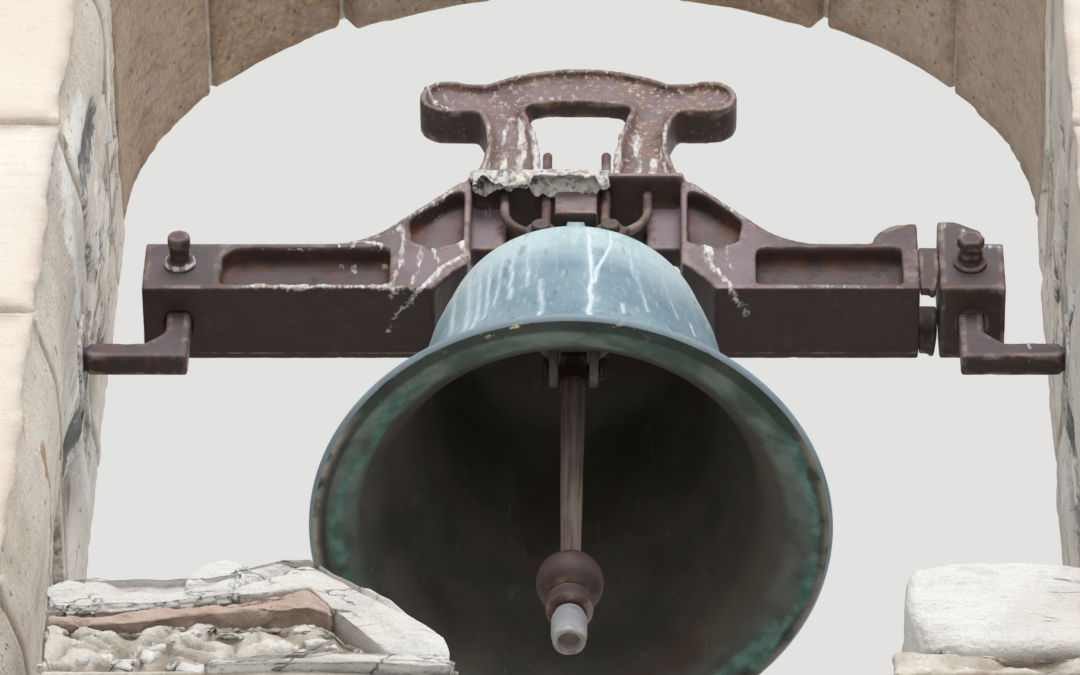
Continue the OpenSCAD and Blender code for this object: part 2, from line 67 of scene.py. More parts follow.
# Levels and radii read from the CAD frame
SILL_Z = node_box("left_pier")[0][2]
SPRING_Z = node_box("left_pier")[1][2]
TOP_Z = node_box("top_course")[0][2]
HALF_BAY = node_box("base_wall")[1][0]
HALF_WALL = node_box("base_wall")[1][1]
OPEN_R = -node_box("left_pier")[1][0]
RING_R = TOP_Z - SPRING_Z
MOUTH_Z, PLATE_Z = (corner[2] for corner in node_box("bell_shell"))
MOUTH_R = node_box("bell_shell")[1][0]
AXIS_Z = sum(corner[2] for corner in node_box("left_bearing")) / 2
BEAM_Z = node_box("right_end_block")[0][2]
BEAM_FRONT = node_box("right_end_block")[0][1]
BEAM_TOP = node_box("headstock_beam")[1][2]
HANDLE_FRONT = node_box("crown_handle")[0][1]


# Noise and painting on whole arrays of points

def lattice(cell, seed):
    """A number from -1 to 1 for each whole-number place: the three numbers are multiplied by
    large primes, added, and mixed by two shifts and a product."""
    mixed = (cell[..., 0] * 374761393 + cell[..., 1] * 668265263 + cell[..., 2] * 1103515245
             + seed * 1274126177) & 0xFFFFFFFF
    mixed = ((mixed ^ (mixed >> 13)) * 1274126177) & 0xFFFFFFFF
    return (mixed ^ (mixed >> 16)) / 0x7FFFFFFF - 1.0


def noise(points, cell, seed):
    """Value noise: the numbers at the eight corners of a point's cell, blended by the eased
    share of the way that the point has gone along each side."""
    place = np.asarray(points, float) / np.asarray(cell, float)
    corner = np.floor(place).astype(np.int64)
    share = place - corner
    share = share * share * (3 - 2 * share)
    total = np.zeros(len(place))
    for step in itertools.product((0, 1), repeat=3):
        step = np.array(step)
        weight = np.prod(np.where(step == 1, share, 1 - share), axis=1)
        total += weight * lattice(corner + step, seed)
    return total


def rough(points, cell, seed, octaves=4):
    """Sum of value noises, each with half the cell and about half the height of the last."""
    cell = np.asarray(cell, float)
    total = np.zeros(len(points))
    for octave in range(octaves):
        total += noise(points, cell / 2 ** octave, seed + 17 * octave) * 0.55 ** octave
    return total / 1.6


def ridge(points, cell, seed, sharp=4):
    """Narrow ridges from 0 to 1, where the noise passes through nought."""
    return (1 - np.abs(noise(points, cell, seed))) ** sharp


def near_path(points, path, width):
    """1 on a line through the given points of a plane, falling evenly to 0 at the width."""
    points, best = np.asarray(points), np.full(len(points), 1e9)
    for a, b in zip(path[:-1], path[1:]):
        a, b = np.array(a, float), np.array(b, float)
        along = np.clip(((points - a) @ (b - a)) / max((b - a) @ (b - a), 1e-9), 0, 1)
        best = np.minimum(best, np.linalg.norm(points - a - along[:, None] * (b - a), axis=1))
    return np.clip(1 - best / width, 0, 1)


def ease(low, high, value):
    """Smooth step from 0 at low to 1 at high."""
    t = np.clip((value - low) / (high - low), 0, 1)
    return t * t * (3 - 2 * t)


def columns(*values):
    """Arrays or single numbers side by side as the columns of one array."""
    return np.stack(np.broadcast_arrays(*values), axis=1)


# Meshes

CROWDING = 1.35  # power that draws a block's cells towards one side
SMOOTHING = 7    # rounds of smoothing that a casting's edges are told from
EDGE_GAIN = 4.5  # from a point's height over its smoothed surroundings to the mark edge


def block_skin(cells):
    """Closed skin of a block of so many cells along x, y and z: each side is a grid, and equal
    places on two sides are one point. Gives the points' whole-number places and the quads."""
    cells = np.asarray(cells)
    stride = np.array([(cells[1] + 1) * (cells[2] + 1), cells[2] + 1, 1])
    quads = []
    for a in range(3):
        b, c = (a + 1) % 3, (a + 2) % 3
        j, k = np.meshgrid(np.arange(cells[b]), np.arange(cells[c]), indexing="ij")
        for side in (0, cells[a]):
            first = (side * stride[a] + j * stride[b] + k * stride[c]).ravel()
            quad = columns(first, first + stride[b], first + stride[b] + stride[c], first + stride[c])
            quads.append(quad if side else quad[:, ::-1])
    keys, index = np.unique(np.concatenate(quads), return_inverse=True)
    place = columns(keys // stride[0], keys // stride[1] % (cells[1] + 1), keys % (cells[2] + 1))
    return place, index.reshape(-1, 4)


def hewn(low, high, seed, cell, arris, dress, chip, warp=None, wear=None, near=0):
    """Block of stone between two corners: a box whose edges are rounded by arris, sunk along
    its outward direction by dress times rough noise, and by chip at its edges where a second
    noise is high. wear(points, outward) sinks it further. warp carries the points to their
    place. The cells are finer towards the low x where near is -1 and towards the high x where it
    is 1. Marks: edge, how near a point is to an edge; deep and cut, how deep it was sunk; tone,
    the same all over the block; face_x and face_y, its outward direction."""
    low, high = np.array(low, float), np.array(high, float)
    cells = np.maximum(2, np.round((high - low) / cell)).astype(int)
    place, quads = block_skin(cells)
    share = place / cells
    if near:
        share[:, 0] = share[:, 0] ** CROWDING if near < 0 else 1 - (1 - share[:, 0]) ** CROWDING
    points = low + share * (high - low)
    arris = min(arris, (high - low).min() * 0.45)
    core = np.clip(points, low + arris, high - arris)
    outward = (points - core) / np.linalg.norm(points - core, axis=1)[:, None]
    points = core + outward * arris
    to_edge = np.sort(np.minimum(points - low, high - points), axis=1)[:, 1]
    edge = np.clip(1 - to_edge / (3.2 * arris), 0, 1)
    depth = dress * (0.9 + rough(points, 110, seed)) + 0.35 * dress * rough(points, 26, seed + 3)
    depth += chip * edge * ease(0.0, 0.7, rough(points, 75, seed + 5))
    if wear is not None:
        depth += wear(points, outward)
    points = points - outward * np.maximum(depth, 0)[:, None]
    tone = np.full(len(points), lattice(np.array([[seed, 7, 3]]), 11)[0] * 0.5 + 0.5)
    marks = {"edge": edge, "deep": np.clip((depth - 12) / 30, 0, 1), "tone": tone,
             "cut": np.clip(depth / 50, 0, 1), "face_y": outward[:, 1], "face_x": outward[:, 0]}
    if warp is not None:
        points = warp(points)
    return {"points": points, "quads": quads, "marks": marks}


def joined(parts):
    """One set of points, quads, triangles and marks from several."""
    points, quads, triangles, start = [], [], [], 0
    for part in parts:
        points.append(part["points"])
        quads.append(part["quads"] + start)
        if "triangles" in part:
            triangles.append(part["triangles"] + start)
        start += len(part["points"])
    names = sorted({name for part in parts for name in part.get("marks", {})})
    marks = {name: np.concatenate([part.get("marks", {}).get(name, np.zeros(len(part["points"])))
                                   for part in parts]) for name in names}
    whole = {"points": np.concatenate(points), "quads": np.concatenate(quads), "marks": marks}
    if triangles:
        whole["triangles"] = np.concatenate(triangles)
    return whole


def revolved(profile, segments, centre=(0, 0, 0), phase=0.0, dense=0.0):
    """A profile of radius and height, from the axis round to the axis again, turned about the
    upright line through centre, with the steps finer by dense on the side away from phase.
    Each end of the profile is one point with a fan of triangles."""
    profile = np.asarray(profile, float)
    turn = np.arange(segments) * 2 * np.pi / segments
    turn += dense * np.sin(turn) + phase
    rows = len(profile) - 2
    radius = np.repeat(profile[1:-1, 0], segments)
    around = np.tile(turn, rows)
    ring = columns(radius * np.cos(around), radius * np.sin(around), np.repeat(profile[1:-1, 1], segments))
    ends = np.array([[0, 0, profile[0, 1]], [0, 0, profile[-1, 1]]])
    spot = np.arange(segments)
    after = (spot + 1) % segments
    row = np.repeat(np.arange(rows - 1) * segments, segments)
    near, far = row + np.tile(spot, rows - 1), row + np.tile(after, rows - 1)
    quads = columns(near, far, far + segments, near + segments)
    first, foot = rows * segments, (rows - 1) * segments
    triangles = np.concatenate([columns(first, after, spot), columns(first + 1, foot + spot, foot + after)])
    points = np.concatenate([ring, ends]) + np.array(centre, float)
    return {"points": points, "quads": quads, "triangles": triangles, "marks": {}}


def read_rows(items, field, width, kind):
    """One field of all of a mesh's points, corners or edges, as rows."""
    values = np.zeros(len(items) * width, kind)
    items.foreach_get(field, values)
    return values.reshape(-1, width)


def placed(name, data, matrix=None):
    """A new object in the scene that holds the data."""
    made = bpy.data.objects.new(name, data)
    bpy.context.scene.collection.objects.link(made)
    if matrix is not None:
        made.matrix_world = matrix
    return made


def relaxed(values, edges, times):
    """Each row moved to the mean of itself and its neighbours along the edges, times over."""
    a, b = edges[:, 0], edges[:, 1]
    count = np.bincount(a, minlength=len(values)) + np.bincount(b, minlength=len(values)) + 1.0
    for _ in range(times):
        moved = values.copy()
        for axis in range(values.shape[1]):
            column = values[:, axis]
            moved[:, axis] += np.bincount(a, column[b], len(values))
            moved[:, axis] += np.bincount(b, column[a], len(values))
        values = moved / count[:, None]
    return values


def outward_of(points, quads):
    """Unit outward direction at each point: the sum of the cross products of its quads'
    diagonals."""
    cross = np.cross(points[quads[:, 2]] - points[quads[:, 0]],
                     points[quads[:, 3]] - points[quads[:, 1]])
    total = columns(*(np.bincount(quads.ravel(), np.repeat(part, 4), len(points)) for part in cross.T))
    return total / np.maximum(np.linalg.norm(total, axis=1), 1e-9)[:, None]


def cast_skin(node, voxel, smooth, pit, seed):
    """Even skin of a CAD node's own shape: its merged copy is remeshed into cells of the given
    size, each point is moved to the mean of its neighbours a few times, and pits are sunk by
    pit times rough noise. Marks: edge, how far a point stands out of its smoothed surroundings;
    hollow, how far it lies inside them; up, the height of its outward direction."""
    shell = bmesh.new()
    shell.from_mesh(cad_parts[node].data)
    bmesh.ops.remove_doubles(shell, verts=shell.verts, dist=1e-5)
    mesh = bpy.data.meshes.new(node + "_copy")
    shell.to_mesh(mesh)
    shell.free()
    copy = placed(node + "_copy", mesh)
    skin = copy.modifiers.new("Skin", "REMESH")
    skin.mode, skin.voxel_size = "VOXEL", voxel * MM
    made = copy.evaluated_get(bpy.context.evaluated_depsgraph_get()).to_mesh()
    if len(made.loops) != 4 * len(made.polygons):
        raise RuntimeError(f"{node}: the remeshed copy holds faces that aren't quads")
    points = read_rows(made.vertices, "co", 3, np.float32).astype(float) / MM
    quads = read_rows(made.loops, "vertex_index", 1, np.int32).reshape(-1, 4)
    edges = read_rows(made.edges, "vertices", 2, np.int32)
    bpy.data.objects.remove(copy)
    bpy.data.meshes.remove(mesh)
    points = relaxed(points, edges, smooth)
    normal = outward_of(points, quads)
    stand = ((points - relaxed(points, edges, SMOOTHING)) * normal).sum(axis=1) / voxel
    wide = relaxed(stand[:, None], edges, 5)[:, 0] * EDGE_GAIN
    marks = {"edge": np.clip(wide, 0, 1), "hollow": np.clip(-wide, 0, 1),
             "up": normal[:, 2], "front": -normal[:, 1]}
    sunk = pit * np.clip(0.3 + rough(points, 16, seed, 3), 0, 2)
    sunk += 2.2 * pit * marks["edge"] * ease(0.25, 0.7, rough(points, 22, seed + 9, 3))
    points = points - normal * sunk[:, None]
    return {"points": points, "quads": quads, "marks": marks}


def add_piece(name, part, finish, body, replaces=()):
    """Puts points, faces and marks into a mesh object at the origin that rides on a body, with
    a finish by its word. It stands for the CAD nodes that it replaces."""
    material, slot = finished(finish)
    quads = part["quads"]
    triangles = part.get("triangles", np.zeros((0, 3), int))
    corners = np.concatenate([quads.ravel(), triangles.ravel()]).astype(np.int32)
    sizes = np.concatenate([np.full(len(quads), 4), np.full(len(triangles), 3)])
    starts = np.concatenate([[0], np.cumsum(sizes)[:-1]]).astype(np.int32)
    mesh = bpy.data.meshes.new(name)
    mesh.vertices.add(len(part["points"]))
    mesh.vertices.foreach_set("co", (part["points"] * MM).astype(np.float32).ravel())
    mesh.loops.add(len(corners))
    mesh.loops.foreach_set("vertex_index", corners)
    mesh.polygons.add(len(sizes))
    mesh.polygons.foreach_set("loop_start", starts)
    mesh.polygons.foreach_set("loop_total", sizes.astype(np.int32))
    mesh.polygons.foreach_set("use_smooth", np.ones(len(sizes), bool))
    for mark, values in part.get("marks", {}).items():
        attribute = mesh.attributes.new(mark, "FLOAT", "POINT")
        attribute.data.foreach_set("value", np.asarray(values, np.float32))
    mesh.update(calc_edges=True)
    mesh.validate()
    mesh.materials.append(material)
    piece = placed(name, mesh)
    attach(piece, body)
    if replaces:
        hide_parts(*replaces)


# Materials

def srgb(red, green, blue):
    """Linear colour with alpha from three display values of 0 to 255."""
    share = np.array([red, green, blue]) / 255
    line = np.where(share <= 0.04045, share / 12.92, ((share + 0.055) / 1.055) ** 2.4)
    return (*line.tolist(), 1.0)


def toned(colour, by):
    """A linear colour made darker or lighter by a factor, up to white."""
    return [min(c * by, 1) for c in colour[:3]] + [1.0]


def feed(tree, socket, value):
    """Links another node's output to a socket, or sets the socket's own value."""
    if isinstance(value, bpy.types.NodeSocket):
        tree.links.new(value, socket)
    else:
        socket.default_value = value


def add_node(tree, kind, *inputs, **settings):
    """A new node with its settings made and its inputs fed."""
    node = tree.nodes.new(kind)
    for key, value in settings.items():
        setattr(node, key, value)
    for socket, value in inputs:
        feed(tree, node.inputs[socket], value)
    return node


class Finish:
    """Node tree of one material, put together by short calls that return sockets. Where a call
    takes a value, a word stands for the mark of that name, painted on the mesh by its points."""

    def __init__(self, name, roughness, specular):
        self.material = bpy.data.materials.new(name)
        self.material.use_nodes = True
        self.tree = self.material.node_tree
        self.shader = self.tree.nodes["Principled BSDF"]
        self.shader.inputs["Roughness"].default_value = roughness
        self.shader.inputs["Specular IOR Level"].default_value = specular
        self.place = self.add("ShaderNodeTexCoord").outputs["Object"]

    def add(self, kind, *inputs, **settings):
        """A new node, with marks given by their names."""
        inputs = [(socket, self.mark(value) if isinstance(value, str) else value)
                  for socket, value in inputs]
        return add_node(self.tree, kind, *inputs, **settings)

    def mark(self, name):
        """A number painted on the mesh by its points."""
        return self.add("ShaderNodeAttribute", attribute_name=name).outputs["Fac"]

    def grain(self, scale, detail=4.0, rough_by=0.55, bend=0.0):
        """Noise from 0 to 1, so many cells to the metre, or so many along each axis."""
        place = self.place
        if isinstance(scale, tuple):
            place = self.add("ShaderNodeMapping", ("Vector", place), ("Scale", scale)).outputs["Vector"]
            scale = 1.0
        return self.add("ShaderNodeTexNoise", ("Vector", place), ("Scale", scale), ("Detail", detail),
                        ("Roughness", rough_by), ("Distortion", bend)).outputs["Fac"]

    def maths(self, operation, a, b=0.0, clamp=False):
        """One sum, product or other step of arithmetic."""
        return self.add("ShaderNodeMath", (0, a), (1, b), operation=operation,
                        use_clamp=clamp).outputs[0]

    def times(self, *values):
        """The product of some numbers."""
        return functools.reduce(lambda total, value: self.maths("MULTIPLY", total, value), values)

    def plus(self, *values):
        """The sum of some numbers."""
        return functools.reduce(lambda total, value: self.maths("ADD", total, value), values)

    def between(self, value, low, high, to_low=0.0, to_high=1.0):
        """The value's smooth step from low to high, carried to two other numbers."""
        return self.add("ShaderNodeMapRange", ("Value", value), ("From Min", low),
                        ("From Max", high), ("To Min", to_low), ("To Max", to_high),
                        interpolation_type="SMOOTHSTEP").outputs["Result"]

    def patches(self, scale, detail, low, high, strength=1.0):
        """Noise that steps from 0 to strength where it passes from low to high."""
        return self.between(self.grain(scale, detail), low, high, 0.0, strength)

    def coats(self, colour, *layers):
        """A colour with paints over it, each laid on by its own share."""
        for share, paint in layers:
            colour = self.add("ShaderNodeMix", (0, share), (6, colour), (7, paint),
                              data_type="RGBA").outputs[2]
        return colour

    def done(self, colour, height, lift, roughness=None):
        """Joins the colour and a bump of the given height in metres to the shader."""
        feed(self.tree, self.shader.inputs["Base Color"], colour)
        if roughness is not None:
            feed(self.tree, self.shader.inputs["Roughness"], roughness)
        bump = self.add("ShaderNodeBump", ("Height", height), ("Distance", lift), ("Strength", 1.0))
        feed(self.tree, self.shader.inputs["Normal"], bump.outputs["Normal"])
        return self.material


def stone_finish(name, face, warm, shade, soil, grit, dim, fissure=0.0):
    """Weathered limestone: a pale skin, warmer in patches, with fine level tool lines and brown
    joints. Where it is painted with the mark shade it takes a second colour, mottled by grit and
    darkened by dim, and darker still as painted shade where it is painted with the mark dim. The
    mark stain brings pale and grey upright runs, white crests, and painted shade in the crevices
    that follow the depth of the wear. Fissure draws thin dark cracks and grey patches."""
    f = Finish(name, 0.92, 0.15)
    middle, fine = f.grain(21.0, 7.0), f.grain(170.0, 5.0)
    beds = f.grain((7.0, 7.0, 110.0), 6.0)
    pores = f.grain(95.0, 5.0, rough_by=0.7)
    dark = f.coats(
        shade,
        (f.between(middle, 0.4, 0.66, 0.0, 0.6), toned(shade, dim)),
        (f.patches(3.2, 5.0, 0.5, 0.66, 0.4), soil),
        # Painted shade: the mark dim darkens the second colour towards the arch's crown.
        (f.times("dim", 0.7), toned(shade, 0.42)),
        (f.between(pores, 0.5, 0.62, 0.0, 0.55 * grit), toned(shade, 0.45)),
        (f.between(pores, 0.48, 0.38, 0.0, 0.4 * grit), toned(shade, 1.7)),
        (f.between(fine, 0.52, 0.66, 0.0, 0.3), soil))
    colour = f.coats(
        face,
        (f.patches(2.6, 3.0, 0.38, 0.66, 0.6), warm),
        (f.between(beds, 0.5, 0.68, 0.0, 0.4), warm),
        (f.patches(5.0, 6.0, 0.52, 0.68, 0.25), srgb(206, 202, 196)),
        ("shade", dark),
        (f.times("tone", 0.3), warm))
    split = f.maths("ABSOLUTE", f.maths("SUBTRACT", f.grain((7.0, 7.0, 22.0), 5.0, bend=0.6), 0.5))
    split = f.times(f.between(split, 0.012, 0.002), f.patches(9.0, 3.0, 0.44, 0.56))
    if fissure:
        clouds = f.between(f.grain(16.0, 7.0, rough_by=0.65), 0.52, 0.68, 0.0, 0.4)
        colour = f.coats(
            colour,
            (f.times(clouds, fissure), srgb(186, 190, 194)),
            (f.times(f.between("cut", 0.12, 0.4), 0.3 * fissure), srgb(176, 168, 160)),
            (f.times(split, 0.7 * fissure), srgb(116, 106, 98)))
    runs = f.grain((30.0, 30.0, 1.8), 7.0, bend=0.3)
    slim = f.grain((75.0, 75.0, 4.5), 6.0, bend=0.5)
    crest = f.times("stain", f.between("cut", 0.3, 0.14), f.between(slim, 0.6, 0.5))
    # Painted shade in the crevices, darkest where the wear is deepest.
    crevice = f.times("stain", f.between("cut", 0.46, 0.74))
    colour = f.coats(
        colour,
        (f.times("stain", f.between(runs, 0.52, 0.42), 0.6), srgb(246, 242, 234)),
        (f.times("stain", f.between(runs, 0.54, 0.62), 0.6), srgb(140, 132, 122)),
        (f.times("stain", f.between(slim, 0.56, 0.64), 0.7), srgb(122, 108, 92)),
        (f.times(crest, 0.75), srgb(250, 247, 241)),
        (f.times(crevice, f.between(middle, 0.25, 0.6, 0.35, 0.95)), srgb(96, 88, 82)))
    torn = f.grain((90.0, 90.0, 22.0), 7.0, rough_by=0.68)
    sooty = f.coats(srgb(104, 101, 98), (f.between(middle, 0.42, 0.6), srgb(136, 139, 143)))
    for mark, paint in (("soot", sooty), ("chalk", srgb(250, 249, 247)), ("rusty", srgb(176, 142, 104))):
        there = f.plus(mark, f.between(torn, 0.3, 0.7, -0.38, 0.38))
        there = f.times(f.between(there, 0.3, 0.75), f.between(mark, 0.0, 0.15))
        colour = f.coats(colour, (f.times(there, 0.9), paint))
    pits = f.times(f.patches(62.0, 3.0, 0.35, 0.27), f.plus("shade", 0.12))
    colour = f.coats(
        colour,
        (f.times("damp", f.patches((40.0, 40.0, 3.0), 6.0, 0.46, 0.58), 0.9), srgb(92, 97, 101)),
        (f.times(f.times("edge", f.patches(9.0, 4.0, 0.45, 0.7)), 0.3), soil),
        (f.times("joint", f.between(middle, 0.3, 0.6)), soil),
        (f.times("deep", 0.35), soil),
        (f.times(pits, 0.6), soil))
    height = f.plus(f.times(middle, 0.4 + 0.4 * fissure), f.times(fine, 0.3 + 0.3 * fissure),
                    f.times(beds, 0.35), f.times(pits, -0.5), f.times(split, -0.6 * fissure),
                    f.times("shade", pores, 0.6 * grit))
    return f.done(colour, height, 0.007)


def mortar_finish(name):
    """Coarse lime mortar: ochre brown with pale grains, whiter and greyer where it is painted
    with pale, and red-brown where it is painted with clay."""
    f = Finish(name, 0.95, 0.1)
    lump, grit = f.grain(24.0, 6.0), f.grain(210.0, 3.0)
    colour = f.coats(
        srgb(194, 184, 172),
        (f.between(lump, 0.35, 0.65), srgb(228, 222, 212)),
        (f.between(grit, 0.58, 0.68, 0.0, 0.6), srgb(232, 224, 208)),
        (f.patches(7.0, 3.0, 0.5, 0.7, 0.4), srgb(164, 132, 104)),
        (f.times("pale", f.between(lump, 0.7, 0.42)), srgb(220, 214, 204)),
        (f.times("pale", f.patches(14.0, 5.0, 0.52, 0.64, 0.7)), srgb(176, 170, 164)),
        (f.between("cut", 0.16, 0.42, 0.0, 0.7), srgb(140, 126, 112)),
        (f.times("pale", f.between(f.grain(38.0, 5.0, rough_by=0.65), 0.52, 0.62)), srgb(240, 238, 234)),
        (f.times("clay", 0.9), f.coats(srgb(188, 162, 148), (lump, srgb(210, 190, 178)))))
    return f.done(colour, f.plus(f.times(lump, 0.6), f.times(grit, 0.4)), 0.008)


def bronze_finish(name):
    """Green bronze: grey-blue outside, lighter and teal at the shoulder, with thin upright runs.
    Inside it is near black-brown, partly its own darker bronze and partly painted shade, olive
    where it is painted with bow, with broken teal streaks where it is painted with ring, a worn
    edge, and lime where it is painted."""
    f = Finish(name, 0.6, 0.4)
    cloud, speck = f.grain(7.0, 6.0), f.grain(160.0, 3.0)
    runs = f.grain((70.0, 70.0, 2.6), 6.0, bend=0.2)
    thin = f.grain((150.0, 150.0, 4.0), 5.0, bend=0.3)
    teal = f.plus("teal", f.patches(5.0, 5.0, 0.5, 0.7, 0.8))
    teal = f.maths("MULTIPLY", teal, f.between(runs, 0.4, 0.6), clamp=True)
    outside = f.coats(
        srgb(116, 144, 160),
        (f.between(cloud, 0.35, 0.65), srgb(140, 164, 176)),
        (f.times("shoulder", 0.86), srgb(210, 227, 232)),
        (f.times(teal, 0.7), srgb(118, 164, 156)),
        (f.between(thin, 0.54, 0.66, 0.0, 0.45), srgb(172, 192, 200)),
        (f.between(runs, 0.43, 0.32, 0.0, 0.5), srgb(86, 116, 122)),
        (f.times("bead", 0.5), srgb(192, 208, 214)),
        (f.times("lip", f.between(cloud, 0.7, 0.4, 0.45, 0.95)), srgb(138, 154, 164)))
    olive = f.coats(srgb(120, 138, 130), (f.patches(16.0, 5.0, 0.4, 0.62), srgb(72, 95, 87)))
    streaks = f.between(f.grain(15.0, 7.0, rough_by=0.62, bend=0.1), 0.3, 0.7, -0.34, 0.34)
    ring = f.times(f.between(f.plus("ring", streaks), 0.15, 0.95), 0.8)
    verdigris = f.coats(srgb(60, 106, 97), (f.patches(34.0, 5.0, 0.4, 0.6), srgb(102, 144, 136)))
    scratch = f.grain((40.0, 40.0, 9.0), 3.0, bend=1.2)
    # Inside: dark bronze made near black, partly as painted shade of the bell's hollow.
    inside = f.coats(
        srgb(84, 80, 72),
        (f.between(cloud, 0.4, 0.62), srgb(68, 66, 61)),
        (f.patches(6.0, 6.0, 0.52, 0.66, 0.7), srgb(74, 53, 47)),
        (f.patches(13.0, 6.0, 0.58, 0.72, 0.45), srgb(70, 82, 74)),
        (f.times("bow", f.between(f.grain(24.0, 4.0), 0.2, 0.6, 0.45, 0.95)), olive),
        (f.times("rim", 0.8), srgb(38, 42, 38)),
        (f.times(ring, f.between("ring", 0.0, 0.15)), verdigris),
        (f.times("worn", f.patches(30.0, 6.0, 0.3, 0.6)), srgb(172, 164, 150)),
        (f.between(scratch, 0.66, 0.7, 0.0, 0.3), srgb(110, 114, 104)),
        (f.between(speck, 0.7, 0.76, 0.0, 0.7), srgb(124, 130, 122)))
    broken = f.plus(f.between(thin, 0.3, 0.7, -0.22, 0.22), f.between(f.grain(50.0), 0.3, 0.7, -0.05, 0.05))
    streak = f.plus("lime", f.times(broken, f.between("lime", 0.5, 0.9, 1.0, 0.5)))
    lime = f.times(f.between(streak, 0.08, 0.85), f.between("lime", 0.0, 0.8, 0.25, 1.0))
    colour = f.coats(
        outside,
        ("inner", inside),
        (f.between("lime", 0.0, 0.6, 0.0, 0.8), srgb(184, 204, 214)),
        (f.times(lime, f.between("lime", 0.0, 0.1), 0.85), srgb(224, 234, 240)),
        (f.times("ochre", f.patches(70.0, 5.0, 0.6, 0.66)), srgb(212, 204, 172)))
    height = f.plus(f.times(cloud, 0.25), f.times(speck, 0.12), f.times(runs, 0.12), f.times(lime, 0.3))
    return f.done(colour, height, 0.0016, f.plus(0.52, f.times(lime, 0.3), f.times("inner", 0.2)))


def iron_finish(name, front, under, rust, bright, dull=0.0):
    """Old cast iron: a mauve-grey skin, lighter where it is painted with the mark light as painted
    light, that turns rust brown with painted shade where it looks down or lies in a pocket, rust
    brown where it lies in a hollow, with pale worn edges and bird lime where it is painted."""
    f = Finish(name, 0.6, 0.4)
    skin, scale, grit = f.grain(11.0, 7.0), f.grain(75.0, 6.0), f.grain(260.0, 3.0)
    dark = toned(front, 0.7)
    brown = f.coats(under, (f.patches(20.0, 6.0, 0.4, 0.64), rust))
    normal = f.add("ShaderNodeTexCoord").outputs["Normal"]
    upward = f.add("ShaderNodeSeparateXYZ", ("Vector", normal)).outputs["Z"]
    stains = f.between(f.plus(f.grain(6.0, 7.0), dull), 0.57, 0.68, 0.0, 0.55)
    bloom = f.times("dust", f.between(f.grain(28.0, 7.0, rough_by=0.65), 0.4, 0.6))
    dust = f.times("dust", f.between(f.grain(130.0, 6.0, rough_by=0.72), 0.53, 0.62))
    chips = f.times(f.between("edge", 0.25, 0.8), f.between(scale, 0.5, 0.6))
    worn = f.times(f.between("edge", 0.4, 0.95), f.between(f.grain(30.0, 6.0), 0.46, 0.64, 0.05, 0.55))
    drip = f.grain((130.0, 130.0, 38.0), 7.0, rough_by=0.62)
    lime = f.plus("lime", f.between(drip, 0.3, 0.7, -0.42, 0.42))
    lime = f.times(f.between(lime, 0.22, 0.88), f.between("lime", 0.0, 0.12))
    crust = f.coats(srgb(228, 226, 224), (f.patches(75.0, 5.0, 0.48, 0.64), srgb(190, 176, 158)),
                    (f.patches(120.0, 4.0, 0.5, 0.7, 0.6), srgb(168, 158, 154)))
    colour = f.coats(
        front,
        (f.between(skin, 0.36, 0.66), dark),
        # Painted light where the mark light lies.
        (f.times("light", f.between(skin, 0.72, 0.4, 0.45, 1.0)), toned(front, 2.1)),
        # Sunk fields of the mark pocket: rust brown and painted shade.
        (f.times("pocket", f.between(scale, 0.3, 0.6, 0.4, 0.75)),
         f.coats(dark, (f.between(scale, 0.5, 0.62), brown))),
        # Faces that look down take the underside colour: rust brown, and painted shade.
        (f.between(upward, -0.15, -0.55), f.coats(under, (f.between(scale, 0.45, 0.62, 0.0, 0.2), brown))),
        (f.times(f.times("hollow", f.between(skin, 0.3, 0.6)), 0.8), brown),
        (f.times(stains, f.between(upward, -0.6, -0.2)), brown),
        (f.times(f.patches(120.0, 5.0, 0.6, 0.68, 0.5), "speckle"), f.coats(rust, (skin, bright))),
        (f.times(bloom, 0.6), srgb(150, 116, 98)),
        (f.times(dust, 0.8), f.coats(srgb(186, 160, 144), (f.between(skin, 0.4, 0.6), srgb(216, 206, 200)))),
        (f.times(chips, 0.6), rust),
        (worn, bright),
        (f.times(lime, 0.9), crust))
    height = f.plus(f.times(skin, 0.3), f.times(scale, 0.4), f.times(grit, 0.15), f.times(lime, 0.5))
    return f.done(colour, height, 0.0024, f.plus(0.56, f.times(lime, 0.3)))


def wood_finish(name):
    """Grey-brown turned ash with long dark grain."""
    f = Finish(name, 0.75, 0.25)
    grain = f.grain((150.0, 150.0, 5.0), 6.0, bend=0.4)
    crack = f.grain((90.0, 90.0, 3.5), 3.0)
    colour = f.coats(
        srgb(142, 124, 116),
        (f.between(grain, 0.35, 0.65), srgb(188, 172, 164)),
        (f.between(crack, 0.38, 0.3), srgb(48, 38, 34)),
        (f.patches(20.0, 4.0, 0.55, 0.7, 0.5), srgb(182, 168, 158)))
    return f.done(colour, f.plus(f.times(grain, 0.5), f.times(f.between(crack, 0.3, 0.38), 0.5)), 0.0015)


def chosen(settings, *fields):
    """Colours of some settings, with alpha."""
    return [(*getattr(settings, field), 1) for field in fields]


